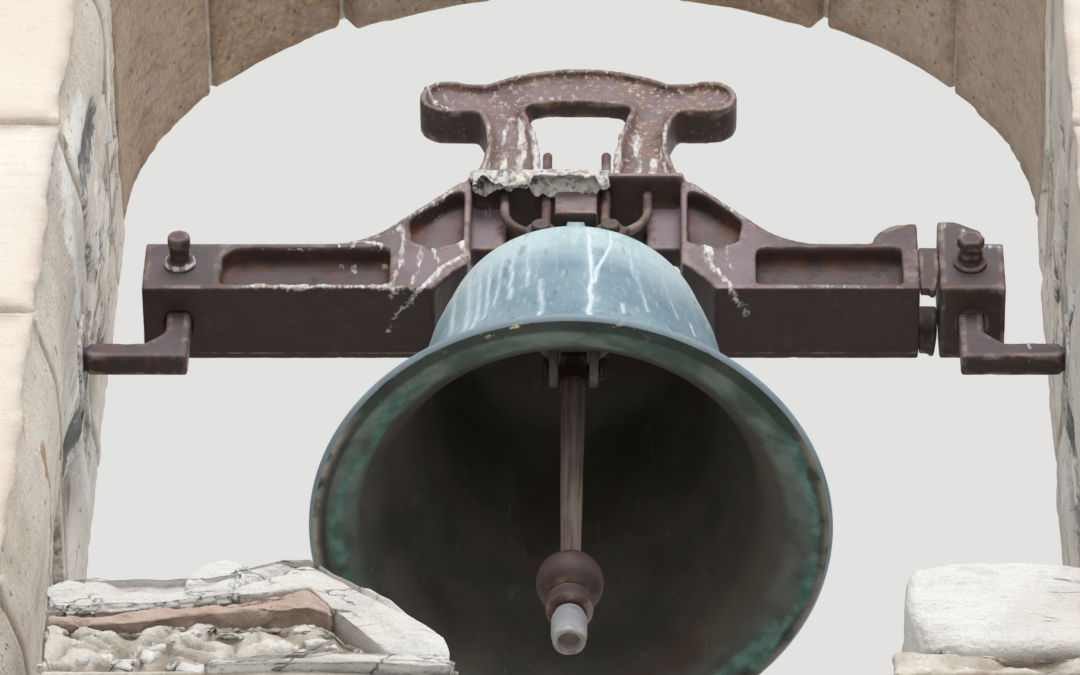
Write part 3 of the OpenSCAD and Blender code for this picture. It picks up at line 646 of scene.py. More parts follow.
def finished(word):
    """The material for a finish, made the first time it is asked for, and the frame's slot."""
    scene = bpy.context.scene
    face, warm, reveal, fresh, soffit, soil = chosen(
        scene.bell_stone, "face", "warm", "reveal", "fresh", "soffit", "soil")
    skin, forged, under, rust, bright = chosen(
        scene.bell_iron, "skin", "forged", "under", "rust", "bright")
    name, slot, make, *values = {
        "ashlar": ("weathered_ashlar", "ashlar", stone_finish, face, warm, reveal, soil, 0.3, 0.82),
        "arch stone": ("pitted_arch_stone", "arch_stone", stone_finish, face, warm, soffit, soil, 1.0, 0.7),
        "broken stone": ("broken_white_stone", "ashlar", stone_finish, fresh, srgb(226, 220, 212), reveal,
                         soil, 0.3, 0.82, 1.0),
        "mortar": ("lime_mortar", "mortar", mortar_finish),
        "bronze": ("bronze_patina", "bronze", bronze_finish),
        "cast iron": ("limed_cast_iron", "cast_iron", iron_finish, skin, under, rust, bright),
        "forged iron": ("forged_iron", "rusty_iron", iron_finish, forged, under, rust, bright, 0.05),
        "pale iron": ("pale_ferrule_iron", "worn_iron", iron_finish, srgb(178, 180, 186),
                      srgb(140, 132, 128), srgb(128, 98, 82), srgb(190, 190, 192)),
        "wood": ("shaft_wood", "wood", wood_finish),
    }[word]
    return bpy.data.materials.get(name) or make(name, *values), slot


# Settings

def colour_setting(name, description, value):
    return bpy.props.FloatVectorProperty(
        name=name, description=description, default=srgb(*value)[:3], subtype="COLOR", min=0, max=1)


def length_setting(name, description, value, low, high):
    return bpy.props.FloatProperty(
        name=name, description=description, default=value, min=low, max=high, unit="LENGTH")


def share_setting(name, description, value, high=1.0):
    return bpy.props.FloatProperty(
        name=name, description=description, default=value, min=0, max=high, subtype="FACTOR")


class StoneSettings(bpy.types.PropertyGroup):
    face: colour_setting("Face", "Weathered front of the wall", (236, 230, 223))
    warm: colour_setting("Warm patches", "Warmer stone on the front", (226, 213, 198))
    reveal: colour_setting("Reveal", "Stone of the jambs' inner sides", (240, 233, 223))
    fresh: colour_setting("Fresh breaks", "Broken stone lying on the sill", (240, 241, 240))
    # Soffit colour: the arch stones' own tan brown, darkened partly as painted shade.
    soffit: colour_setting("Soffit", "Underside of the arch stones", (182, 146, 114))
    soil: colour_setting("Soil", "Brown of pits, arrises and joints", (138, 106, 80))
    cell: length_setting("Cell", "Size of the mesh cells on the stones", 0.014, 0.006, 0.05)
    joint: length_setting("Joint", "Width of the mortar joints", 0.009, 0.002, 0.03)
    chip: length_setting("Chips", "Depth of the chips on the arrises", 0.014, 0, 0.05)


class BellSettings(bpy.types.PropertyGroup):
    segments: bpy.props.IntProperty(
        name="Segments", description="Steps round the bell", default=270, min=96, max=512)
    lime: share_setting("Lime", "Strength of the white runs on the bell", 1.0)


class IronSettings(bpy.types.PropertyGroup):
    skin: colour_setting("Casting skin", "Mauve-grey front of the castings", (100, 88, 92))
    forged: colour_setting("Forged iron", "Bolts, pins and hangers", (96, 82, 82))
    # Underside colour: rust brown, darkened as painted shade of the faces that look down.
    under: colour_setting("Underside", "Rust-brown undersides", (62, 47, 44))
    rust: colour_setting("Rust", "Rust on chips and in hollows", (112, 74, 54))
    bright: colour_setting("Bright edges", "Pale worn edges", (168, 150, 144))
    voxel: length_setting("Cell", "Size of the mesh cells on the beam", 0.0042, 0.002, 0.01)
    lime: share_setting("Lime", "Strength of the bird lime on the castings", 1.0)


class StageSettings(bpy.types.PropertyGroup):
    floor: colour_setting("Floor", "Plain pale floor and background", (226, 226, 224))
    key: bpy.props.FloatProperty(
        name="Key light", description="Power of the large front light", default=550, min=0,
        subtype="POWER")
    sky: share_setting("Sky", "Strength of the even light from all sides", 0.5, 2)


# Masonry

# Streaks on the jambs' inner sides, by depth and height above the sill, with width
CHALK_RUNS = (
    (((-210, 1420), (-205, 1330), (-235, 1210), (-220, 1145), (-195, 1100), (-135, 1100)), 34),
    (((-160, 1715), (-45, 1755), (80, 1765)), 26), (((-75, 1450), (-5, 1465), (55, 1470)), 34),
    (((-110, 1090), (-60, 1090), (0, 1085)), 26), (((45, 1100), (95, 1085)), 26),
    (((130, 1100), (215, 1085)), 40), (((-200, 600), (-110, 555)), 16),
)
SOOT_RUNS = (
    (((-150, 1470), (-155, 1385), (-160, 1295), (-115, 1280), (-30, 1295), (50, 1305)), 40),
    (((80, 1505), (140, 1510), (170, 1485), (215, 1455)), 38),
    (((-110, 1070), (-40, 1080), (50, 1060), (50, 980), (40, 885), (80, 820), (155, 820)), 40),
    (((30, 1170), (100, 1150), (160, 1140)), 34),
)
RUSTY_RUNS = (
    (((-330, 535), (-285, 540)), 16), (((-195, 605), (-170, 580), (-115, 565), (-45, 545)), 16),
    (((-280, 1255), (-262, 1250), (-240, 1246)), 14),
)
BASE_TOP = node_box("base_wall")[1][2]
COURSES = (  # foot, head, upright joints and seed of the courses that cross the whole bay
    (0, BASE_TOP / 2, (-560, 30, 590), 400),
    (BASE_TOP / 2, BASE_TOP, (-820, -310, 240, 800), 430),
    (BASE_TOP, SILL_Z, (-470, 60, 560), 460),
    (TOP_Z, node_box("top_course")[1][2], (-700, -120, 480), 490),
)
PIER_BEDS = (0, 0.108, 0.422, 0.668, 0.914, 1)  # bed joints, by share of the jamb's height
SPANDREL_BEDS = (0, 265, 540, 780)  # bed joints above the springing
ONE_STONE = 520  # shorter courses of a spandrel are one stone
LEAF_JOINT = 70  # place of the joint in the piers' split courses: nearer the front on the left
ARRIS = 10       # rounding of the stones' edges
ARCH_ARRIS = 15
DRESS = 3        # depth of the dressing of the stones' faces
ARCH_GAP = 4     # half a joint between the arch stones
POCKET = 88      # depth of the pocket that holds a bearing
INSET = 10       # how far the mortar stays behind the stones' faces
SLAB = 12        # half the thickness of a slab of mortar
BED_SLAB = 14    # the same of one that lies in a bed of a pier
COLLAR = 30      # width of the mortar round a bearing
MORTAR_CELL = 34


def sized(settings):
    """Half a joint, the mesh cell and the depth of the chips, in millimetres."""
    return settings.joint / MM / 2, settings.cell / MM, settings.chip / MM


def slab(low, high, seed, cell=MORTAR_CELL, arris=4):
    """A block of mortar."""
    return hewn(low, high, seed, cell, arris, 2, 0)


def flipped(part):
    """Turns the quads of a part over, where its points were mirrored."""
    part["quads"] = part["quads"][:, ::-1]
    return part


def drawn(points, runs):
    """The strongest of some runs on a jamb, given by depth and height above the sill."""
    plane = points[:, 1:] - (0, SILL_Z)
    plane = plane + 14 * columns(noise(points, 70, 63), noise(points, 70, 64))
    return np.max([near_path(plane, path, width) for path, width in runs], axis=0)


def worn_zone(points):
    """The strip of a reveal, behind its middle, where the stone has flaked in layers: 0 to 1."""
    middle = 90 + 40 * noise(points, (900, 900, 500), 29)
    return ease(140, 45, np.abs(points[:, 1] - middle))


def reveal_wear(side):
    """Wear of a jamb's inner side: a gentle wave, a wavy front arris, and in the flaked strip
    long upright ridges and grooves from stretched noise. Round the bearing the stone stays
    whole, and the pocket that holds the bearing is sunk into it."""
    def wear(points, outward):
        inner = ease(0.5, 0.9, -side * outward[:, 0])
        moved = points + 50 * rough(points, 300, 5)[:, None] * (0, 1, 0)
        groove = ridge(moved, (300, 80, 700), 47 + side, 5)
        layer = ease(-0.2, 0.3, noise(moved, (300, 46, 420), 41 + side))
        flake = rough(points, (200, 22, 130), 53 + side, 3)
        depth = 4 * ease(-0.6, 0.6, rough(points, (400, 160, 500), 31 + side))
        depth += worn_zone(points) * (22 * groove + 13 * layer + 9 * (0.5 + flake))
        depth += 20 * ease(0.1, 0.8, drawn(points, SOOT_RUNS)) * (0.7 + 0.5 * flake)
        depth *= 1 - 0.85 * ease(0.1, 0.7, drawn(points, CHALK_RUNS))
        depth += 2.5 * (0.6 + rough(points, (60, 40, 60), 33, 3))
        off = np.maximum(np.abs(points[:, 1]) - 62, np.abs(points[:, 2] - AXIS_Z) - 67)
        depth = inner * depth * ease(0, 90, off) * (0.25 + 0.75 * ease(285, 235, points[:, 1]))
        corner = ease(-225, -292, points[:, 1]) * ease(-0.05, 0.4, -side * outward[:, 0])
        depth += corner * 8 * ease(0.0, 0.6, rough(points, (900, 900, 60), 61 + side))
        return np.where((off < 0) & (inner > 0.5), POCKET, depth)
    return wear


def worn_back(side):
    """Moves the left jamb's front arris away from the opening by an uneven 14 to 38 mm, and the
    right one's by a tenth of it."""
    def warp(points):
        shift = (24 + 13 * rough(points, (900, 900, 230), 59 + side)
                 + 8 * rough(points, (900, 900, 60), 65 + side, 2))
        shift *= (1 if side < 0 else 0.1) * ease(-150, -290, points[:, 1]) \
            * ease(OPEN_R + 110, OPEN_R, np.abs(points[:, 0]))
        return points + columns(side * shift, 0, 0)
    return warp


def paint_jamb(part, side):
    """Marks of a jamb: shade and stain on its inner side, damp in the lower flaked strip. The
    right one's front strip is as pale as the front."""
    marks, points = part["marks"], part["points"]
    inner = ease(0.35, 0.85, -side * marks["face_x"])
    if side > 0:
        inner *= ease(-200, -90, points[:, 1] + 30 * rough(points, (900, 900, 160), 77))
    zone = worn_zone(points)
    marks["shade"] = inner * (0.75 + 0.25 * zone)
    marks["stain"] = inner * np.clip(zone + 0.3 * ease(-250, -60, points[:, 1]), 0, 1)
    marks["damp"] = 0.7 * inner * zone * ease(SILL_Z + 1250, SILL_Z + 700, points[:, 2])
    for name, runs in (("chalk", CHALK_RUNS), ("soot", SOOT_RUNS), ("rusty", RUSTY_RUNS)):
        marks[name] = inner * np.sqrt(drawn(points, runs))
    marks["joint"] = (1 - inner) * marks["edge"] * 0.4
    return part


def bed_heights():
    """Heights of the bed joints of the piers, as in the CAD frame."""
    jamb = SPRING_Z - SILL_Z
    return [SILL_Z + share * jamb for share in PIER_BEDS]


def pier_stones(side, s):
    """Stones of a pier: whole ones and pairs by turns, with the worn jamb on their inner side."""
    gap, cell, chip = sized(s)
    parts = []
    x0, x1 = sorted((side * OPEN_R, side * HALF_BAY))
    for row, (z0, z1) in enumerate(itertools.pairwise(bed_heights())):
        cuts = (-HALF_WALL, HALF_WALL) if row % 2 == 0 else (-HALF_WALL, LEAF_JOINT * side, HALF_WALL)
        for leaf, (y0, y1) in enumerate(itertools.pairwise(cuts)):
            stone = hewn((x0, y0 + gap * (leaf > 0), z0 + gap * (row > 0)),
                         (x1, y1 - gap * (y1 < HALF_WALL), z1 - gap), 100 + 10 * row + leaf + 5 * side,
                         ((x1 - x0) / 17, 0.95 * cell, cell), ARRIS, DRESS, 0.5 * chip,
                         worn_back(side), reveal_wear(side), -side)
            parts.append(paint_jamb(stone, side))
    return joined(parts)


def pier_mortar(side):
    """Mortar of a pier: a slab in each joint and a collar round the bearing."""
    x0, x1 = sorted((side * (OPEN_R + 26), side * (HALF_BAY - INSET)))
    beds, leaf = bed_heights(), LEAF_JOINT * side
    parts = [slab((x0, -HALF_WALL + INSET, z - BED_SLAB), (x1, HALF_WALL - INSET, z + BED_SLAB), 300 + n, 30)
             for n, z in enumerate(beds[1:])]
    parts += [slab((x0, leaf - SLAB, beds[n] + INSET), (x1, leaf + SLAB, beds[n + 1] - INSET), 310 + n, 30)
              for n in (1, 3)]
    low, high = node_box("left_bearing" if side < 0 else "right_bearing")
    (ya, yb, yc, yd), (za, zb, zc, zd) = (
        (low[axis] - COLLAR, low[axis] - 0.5, high[axis] + 0.5, high[axis] + COLLAR) for axis in (1, 2))
    x0, x1 = sorted((side * (OPEN_R + 12), side * (OPEN_R + 74)))
    for k, (y0, y1, z0, z1) in enumerate(
            ((ya, yb, za, zd), (yc, yd, za, zd), (yb, yc, zc, zd), (yb, yc, za, zb))):
        parts.append(slab((x0, y0, z0), (x1, y1, z1), 320 + k, 8, 3))
    return joined(parts)


def course(z0, z1, cuts, seed, s, wear=None):
    """A course of stones across the whole bay, two deep, cut at the given places. It keeps half
    a joint free below and above, but not at the foot of the bay, at the sill or at the top."""
    gap, cell, chip = sized(s)
    parts = []
    for k, (x0, x1) in enumerate(itertools.pairwise((-HALF_BAY, *cuts, HALF_BAY))):
        for leaf, (y0, y1) in enumerate(((-HALF_WALL, -gap), (gap, HALF_WALL))):
            parts.append(hewn((x0 + gap * (k > 0), y0, z0 + gap * (z0 > 0)),
                              (x1 - gap * (x1 < HALF_BAY), y1, z1 - gap * (z1 < SILL_Z)),
                              seed + 3 * k + leaf, cell * (1.25 if wear else 2), ARRIS, DRESS, chip,
                              wear=wear))
    return parts


def course_mortar():
    """Mortar of the courses: a slab in each bed joint, one between the two leaves of each course
    and one in each of its upright joints."""
    deep, wide = HALF_WALL - INSET, HALF_BAY - INSET
    parts = [slab((-wide, -deep, z - SLAB), (wide, deep, z + SLAB), 340 + n)
             for n, z in enumerate((BASE_TOP / 2, BASE_TOP, TOP_Z))]
    for z0, z1, cuts, _ in COURSES:
        parts.append(slab((-wide, -SLAB, z0 + INSET), (wide, SLAB, z1 - INSET), 348))
        parts += [slab((x - SLAB, -deep, z0 + BED_SLAB), (x + SLAB, deep, z1 - BED_SLAB), 350 + n)
                  for n, x in enumerate(cuts)]
    return joined(parts)


def broken_edge(points, outward):
    """Wear of the sill's front arris across the opening, deepest left of its middle."""
    front = ease(HALF_WALL - 90, HALF_WALL, -points[:, 1]) * ease(SILL_Z - 70, SILL_Z, points[:, 2])
    open_part = ease(OPEN_R + 30, OPEN_R - 40, np.abs(points[:, 0]))
    reach = np.interp(points[:, 0], (-250, -60, 130, 200, 430), (20, 44, 44, 17, 14))
    return front * open_part * reach * (0.5 + 0.7 * ease(-0.4, 0.5, rough(points, (60, 60, 40), 77)))


def arch_x(z, radius):
    """Half width of a circle about the springing point at a height."""
    return np.sqrt(np.maximum(radius ** 2 - (z - SPRING_Z) ** 2, 0))


def spandrel_stones(side, s):
    """Stones beside the arch: boxes whose inner end follows the back of the arch ring, so a
    share along the box becomes a share between the ring and the bay's end. A darker core
    fills the joints between them."""
    gap, cell, chip = sized(s)
    beds = [*(SPRING_Z + up for up in SPANDREL_BEDS), TOP_Z]
    parts = []
    for row, (z0, z1) in enumerate(itertools.pairwise(beds)):
        middle = arch_x((z0 + z1) / 2, RING_R)
        length = HALF_BAY - middle
        pieces = 1 if length < ONE_STONE else 2

        def warp(points):
            foot = np.maximum(arch_x(points[:, 2], RING_R + gap), 150)
            share = (points[:, 0] - middle) / length
            return columns(side * (foot + share * (HALF_BAY - foot)), points[:, 1], points[:, 2])

        for k in range(pieces):
            x0 = middle + length * k / pieces + gap * (k > 0)
            x1 = middle + length * (k + 1) / pieces - gap * (k + 1 < pieces)
            parts.append(hewn((x0, -HALF_WALL, z0 + gap), (x1, HALF_WALL, z1 - gap),
                              520 + 7 * row + k + 40 * (side > 0), 1.7 * cell, ARRIS, DRESS, chip, warp))
    core = hewn((0, -HALF_WALL + SLAB, SPRING_Z + 4), (1, HALF_WALL - SLAB, TOP_Z - 2), 560,
                (0.05, MORTAR_CELL, MORTAR_CELL), 0.01, 0, 0)
    x = arch_x(core["points"][:, 2], RING_R + 2)
    core["points"][:, 0] = side * (x + core["points"][:, 0] * (HALF_BAY - SLAB - x))
    core["marks"]["shade"] = np.ones(len(x))
    whole = joined([*parts, core])
    return flipped(whole) if side < 0 else whole


class BELL_OT_walls(bpy.types.Operator):
    """Build the ashlar of the bay: base, sill, piers, spandrels and top course, and its mortar"""

    bl_idname = "bell.walls"
    bl_label = "Walls"

    def execute(self, context):
        s = context.scene.bell_stone
        lower, upper, sill, top = COURSES
        for name, stones, node in (
                ("base_wall_stones", course(*lower, s) + course(*upper, s), "base_wall"),
                ("sill_stones", course(*sill, s, broken_edge), "sill_course"),
                ("top_course_stones", course(*top, s), "top_course")):
            add_piece(name, joined(stones), "ashlar", "masonry", [node])
        for side, word in ((-1, "left_"), (1, "right_")):
            add_piece(word + "pier_stones", pier_stones(side, s), "ashlar", "masonry", [word + "pier"])
            add_piece(word + "pier_mortar", pier_mortar(side), "mortar", "masonry")
            add_piece(word + "spandrel_stones", spandrel_stones(side, s), "ashlar", "masonry",
                      [word + "spandrel"])
        add_piece("wall_mortar", course_mortar(), "mortar", "masonry")
        return {"FINISHED"}


ARCH_ANGLES = (0, 34, 57, 78, 102, 123, 146, 180)
ARCH_STONES = (  # each with how far its underside is set back from the opening's circle
    ("right_springer", 0), ("right_haunch", 1), ("right_shoulder", -21), ("keystone", -18),
    ("left_shoulder", -22), ("left_haunch", 0), ("left_springer", 1))
MEAN_R = (OPEN_R + RING_R) / 2


def bent(part):
    """Bends a straight row of stones round the arch: x becomes the way along its mean circle
    and z the distance from the springing point."""
    along, deep, radius = part["points"].T
    turn = along / MEAN_R
    part["points"] = columns(radius * np.cos(turn), deep, SPRING_Z + radius * np.sin(turn))
    return flipped(part)


def soffit_wear(points, outward):
    """Wear of the arch stones' underside: shallow hollows and fine pits."""
    under = ease(0.4, 0.9, -outward[:, 2])
    return under * (3 * (0.6 + rough(points, 160, 61)) + 3 * (0.5 + rough(points, 30, 63, 3)))


class BELL_OT_arch(bpy.types.Operator):
    """Build the seven stones of the arch and the mortar between them"""

    bl_idname = "bell.arch"
    bl_label = "Arch stones"

    def execute(self, context):
        _, cell, chip = sized(context.scene.bell_stone)
        for n, ((name, inset), ends) in enumerate(zip(ARCH_STONES, itertools.pairwise(ARCH_ANGLES))):
            a0, a1 = np.radians(ends) * MEAN_R
            part = hewn((a0 + ARCH_GAP * (n > 0), -HALF_WALL, OPEN_R + inset),
                        (a1 - ARCH_GAP * (n < len(ARCH_STONES) - 1), HALF_WALL, RING_R),
                        600 + 5 * n, cell, ARCH_ARRIS, DRESS, chip * 0.35, wear=soffit_wear)
            points, marks = part["points"], part["marks"]
            under = ease(OPEN_R + 44, OPEN_R + 10, points[:, 2]) * ease(-0.95, -0.5, marks["face_y"])
            angle = np.degrees(points[:, 0] / MEAN_R)
            # The soffit's colour, darker partly as painted shade, is laid on less on the right side, which
            # faces the light: painted light.
            marks["shade"] = under * (1 - 0.3 * ease(60, 20, angle))
            marks["stain"] = under * 0.12
            # Painted shade on the soffit towards the crown of the arch.
            marks["dim"] = under * ease(58, 12, np.abs(angle - 95))
            marks["joint"] = marks["edge"] * 0.5
            add_piece(name + "_hewn", bent(part), "arch stone", "masonry", [name])
        slabs = []
        for n, angle in enumerate(ARCH_ANGLES[1:-1]):
            a = np.radians(angle) * MEAN_R
            foot = OPEN_R - 8 if abs(angle - 90) < 20 else OPEN_R + 14
            slabs.append(bent(slab((a - SLAB, -HALF_WALL + SLAB, foot),
                                   (a + SLAB, HALF_WALL - SLAB, RING_R - 6), 640 + n, 28)))
        add_piece("arch_mortar", joined(slabs), "mortar", "masonry")
        return {"FINISHED"}


def strata(thick, seed, step):
    """Wear of a broken stone: ledges where a noise that changes mostly upwards passes a few
    levels, with thin open cracks between some of them."""
    def wear(points, outward):
        moved = points + 10 * rough(points, 120, seed)[:, None] * (0, 0, 1)
        level = noise(moved, (170, 120, thick), seed + 1)
        crack = ridge(moved, (260, 200, thick * 1.3), seed + 2, 26)
        return step * (ease(-0.3, -0.1, level) + ease(0.1, 0.3, level)) + 14 * crack \
            + 2 * (0.7 + rough(points, 40, seed + 4, 3))
    return wear


def heap_wear(points, outward):
    """Wear of the crumbled mortar: branching cracks between lumps, everywhere but underneath."""
    free = 1 - ease(0.5, 0.9, -outward[:, 2])
    moved = points + 14 * columns(*(noise(points, 60, n) for n in (66, 67, 68)))
    crack = np.maximum(ridge(moved, (64, 60, 40), 71, 5), 0.8 * ridge(moved, (30, 30, 20), 72, 5))
    return free * (2 + 15 * crack + 9 * ease(0, 0.6, rough(points, (120, 60, 50), 73))
                   + 5 * (0.5 + rough(points, 14, 74, 3)))


def band_wear(points, outward):
    """Wear of the clay band."""
    return (1 + 9 * ease(-0.3, 0.5, rough(points, (50, 40, 34), 79))
            + 3 * (0.5 + rough(points, 13, 76, 3)))


def height_at(x, line):
    """Height of a broken line of (x, z) places at x."""
    return np.interp(x, *np.array(line, float).T)


def outlined(bottom, top, depth, seed, arris, dress, chip, wear, cell=5.6, rise=0):
    """Hewn stone seen from the front as the area between two broken lines, given from the
    middle of the bell's mouth: its height share is carried between the lines, the upper one
    raised by what the wear takes away."""
    x0, x1 = max(bottom[0][0], top[0][0]), min(bottom[-1][0], top[-1][0])
    across = np.linspace(x0, x1, 9)
    tall = float(np.mean(height_at(across, top) - height_at(across, bottom)))

    def warp(points):
        x, y, z = points.T
        foot = np.maximum(height_at(x, bottom) + MOUTH_Z, SILL_Z)
        return columns(x, y, foot + z / tall * (height_at(x, top) + MOUTH_Z + rise - foot))

    return hewn((x0, depth[0], 0), (x1, depth[1], tall), seed, cell, arris, dress, chip, warp, wear)


HEAP_TOP = ((-652, -575), (-560, -583), (-480, -570), (-420, -560), (-340, -560), (-290, -575),
            (-215, -650), (-143, -668), (-122, -686))
CLAY_FOOT = ((-648, -592), (-550, -596), (-493, -585), (-421, -572), (-338, -568), (-286, -574))
CLAY_TOP = ((-648, -570), (-582, -575), (-521, -553), (-427, -543), (-381, -521), (-319, -513),
            (-286, -566))
BROKEN_STONES = (
    # foot; top; start behind the heap's front and end, behind the front or before the back;
    # seed, arris, dress and chip; thickness, seed and depth of its ledges; rise
    (((-652, -568), (-572, -564), (-520, -560), (-400, -537)),
     ((-652, -503), (-604, -489), (-541, -481), (-499, -485), (-400, -470)),
     (2, -10), (710, 6, 2, 8), (26, 81, 7), 6),
    (((-480, -530), (-372, -530)),
     ((-480, -492), (-455, -462), (-428, -440), (-400, -452), (-372, -476)),
     (4, -30), (712, 12, 3, 7), (40, 83, 6), 6),
    (((-430, -537), (-319, -518), (-286, -566), (-215, -656), (-138, -690)),
     ((-430, -476), (-354, -445), (-322, -444), (-273, -491), (-219, -535), (-181, -579),
      (-149, -622), (-138, -660)),
     (2, -8), (716, 8, 2, 6), (70, 87, 4), 8),
    (((-448, -692), (-127, -692)),
     ((-448, -682), (-426, -670), (-385, -660), (-334, -649), (-231, -658), (-127, -681)),
     (-10, 90), (718, 6, 2, 6), (26, 89, 4), 4),
)


def scattered_stones(low, high, count=34):
    """Small stones leaning in the front of the heap, each between the sill and the heap's top."""
    generator = np.random.default_rng(8)
    stones = []
    for n in range(count):
        size = generator.uniform((22, 22, 16), (62, 40, 36))
        x = generator.uniform(low[0] + 10, high[0] - 90)
        ceiling = height_at(x + size[0] / 2, HEAP_TOP) + MOUTH_Z - size[2]
        z = generator.uniform(SILL_Z + 1, max(ceiling, SILL_Z + 4))
        corner = np.array((x, low[1] + generator.uniform(4, 14), z))
        tilt, middle = generator.uniform(-0.6, 0.6), corner + size / 2

        def turn(points):
            """Tilts a stone in the plane of the front."""
            dx, dy, dz = (points - middle).T
            turned = columns(dx * np.cos(tilt) - dz * np.sin(tilt), dy,
                             dx * np.sin(tilt) + dz * np.cos(tilt)) + middle
            return np.maximum(turned, (low[0], low[1], SILL_Z))

        stones.append(hewn(corner, corner + size, 730 + n, 5, size.min() * 0.4, 7, 9, turn,
                           lambda p, o: 7 * ease(-0.2, 0.5, rough(p, 26, 75, 3))))
    return stones


class BELL_OT_rubble(bpy.types.Operator):
    """Build the broken stone and mortar left on the sill, and the loose block on the right"""

    bl_idname = "bell.rubble"
    bl_label = "Rubble on the sill"

    def execute(self, context):
        low, high = node_box("left_rubble")
        front, back = low[1], high[1]
        heap = outlined(((-652, -692), (-122, -692)), HEAP_TOP, (front + 4, back), 700, 12, 2, 0, heap_wear)
        heap["marks"]["pale"] = ease(-0.45, 0.2, rough(heap["points"], 70, 75))
        add_piece("left_heap", heap, "mortar", "masonry", ["left_rubble"])
        clay = outlined(CLAY_FOOT, CLAY_TOP, (front + 1, back - 40), 702, 9, 2, 2, band_wear, 4.6, 2)
        clay["marks"]["clay"] = np.ones(len(clay["points"]))
        add_piece("left_clay_band", clay, "mortar", "masonry")
        stones = [outlined(foot, top, (front + near, (front if far > 0 else back) + far), *shape,
                           strata(*ledges), rise=rise)
                  for foot, top, (near, far), shape, ledges, rise in BROKEN_STONES]
        add_piece("left_broken_stones", joined(stones + scattered_stones(low, high)), "broken stone",
                  "masonry", ["left_broken_stone"])
        low, high = node_box("right_loose_block")

        def bulge(points):
            """The block's left end leans out towards its middle height."""
            share = (points[:, 2] - low[2]) / (high[2] - low[2])
            left = ease(low[0] + 120, low[0], points[:, 0])
            return points + columns(left * np.interp(share, (0, 0.55, 0.8, 1), (26, 4, 6, 22)), 0, 0)

        block = hewn(low, high, 760, 6, 24, 4, 12, bulge,
                     lambda p, o: 6 * ease(0.1, 0.8, rough(p, (90, 60, 24), 77)))
        add_piece("right_block_hewn", block, "broken stone", "masonry", ["right_loose_block"])
        bed = hewn(*node_box("right_mortar_bed"), 770, 6, 12, 3, 6,
                   wear=lambda p, o: 18 * ease(-0.3, 0.7, rough(p, (80, 60, 40), 78)))
        bed["marks"]["pale"] = ease(-0.2, 0.6, rough(bed["points"], 50, 79))
        add_piece("right_bed", bed, "mortar", "masonry", ["right_mortar_bed"])
        return {"FINISHED"}


# Bell

SHOULDER_R = 184  # radius of the bell's outside at the top of its taper
TAPER = 66        # how much wider the taper is at the mouth, without the flare
FLARE = 105       # height in which the flare dies down to about a third
LIP_R = 9
BELL_H = PLATE_Z - MOUTH_Z
WAIST_TOP = BELL_H - 48
BEADS = (102, 122, BELL_H - 152, BELL_H - 132)
BEAD_OUT, BEAD_HALF = 3.2, 6.5        # how far a bead stands out, and half its width
WALL, BOW, BOW_Z, BOW_HALF = 20, 26, 42, 58  # wall, and the swelling of the sound bow round BOW_Z
TOP_R = 106       # radius of the flat top

# Lime outside, by angle from the front in degrees and height, with width and strength
BELL_RUNS = (
    (((6, 470), (6, 396), (8, 333), (6, 254), (6, 20)), 5, 1.0),
    (((17, 470), (15, 407), (10, 326), (8, 280)), 4.5, 0.95),
    (((6, 440), (7, 330), (6, 60)), 16, 0.32),
    (((-38, 200), (-44, 440)), 70, 0.3), (((-14, 330), (-16, 450)), 50, 0.22),
    (((40, 330), (44, 440)), 40, 0.2),
    (((-46, 242), (-55, 410)), 12, 0.55), (((-38, 206), (-46, 406)), 12, 0.6),
    (((-34, 197), (-41, 426)), 9, 0.6), (((-31, 216), (-36, 430)), 8, 0.55),
    (((-28, 249), (-30, 432)), 7, 0.5), (((-22, 252), (-25, 432)), 8, 0.5),
    (((-16, 280), (-18, 426)), 7, 0.5), (((-9, 164), (-11, 294)), 7, 0.5),
    (((-10, 167), (-11, 12)), 7, 0.6), (((17, 222), (17, 183)), 4, 0.9),
    (((47, 278), (47, 241)), 4, 0.8), (((26, 352), (26, 219)), 6, 0.42),
    (((38, 375), (40, 258)), 6, 0.42), (((23, 426), (24, 323)), 6, 0.4),
    (((63, 442), (65, 345)), 8, 0.45), (((172, 440), (168, 200)), 14, 0.55),
    (((110, 420), (112, 240)), 12, 0.5), (((-120, 430), (-118, 140)), 14, 0.5),
)
# Verdigris in the mouth, by angle and radius, with width
RING_RUNS = (
    (((-40, 303), (-44, 304), (-54, 302), (-67, 286), (-69, 306), (-77, 309), (-90, 317), (-99, 312)), 15),
    (((60, 327), (63, 329), (77, 321), (92, 327), (107, 330), (120, 327), (132, 334)), 13),
    (((120, 318), (150, 314), (180, 318), (215, 316), (255, 312)), 14),
)


def outer_radius(z):
    """Outside of the bell at a height: a straight taper and a flare that dies out upwards."""
    return SHOULDER_R + TAPER * (1 - z / WAIST_TOP) \
        + (MOUTH_R - SHOULDER_R - TAPER) * np.exp(-np.maximum(z - LIP_R, 0) / FLARE)


def bell_wall(z):
    """Thickness of the wall at a height, swollen at the sound bow."""
    return WALL + BOW * np.exp(-((z - BOW_Z) / BOW_HALF) ** 2)


def arc(x, z, radius, start, end, steps):
    """Points of a circle about a place, between two angles in degrees."""
    turn = np.radians(np.linspace(start, end, steps))
    return columns(x + radius * np.cos(turn), z + radius * np.sin(turn))


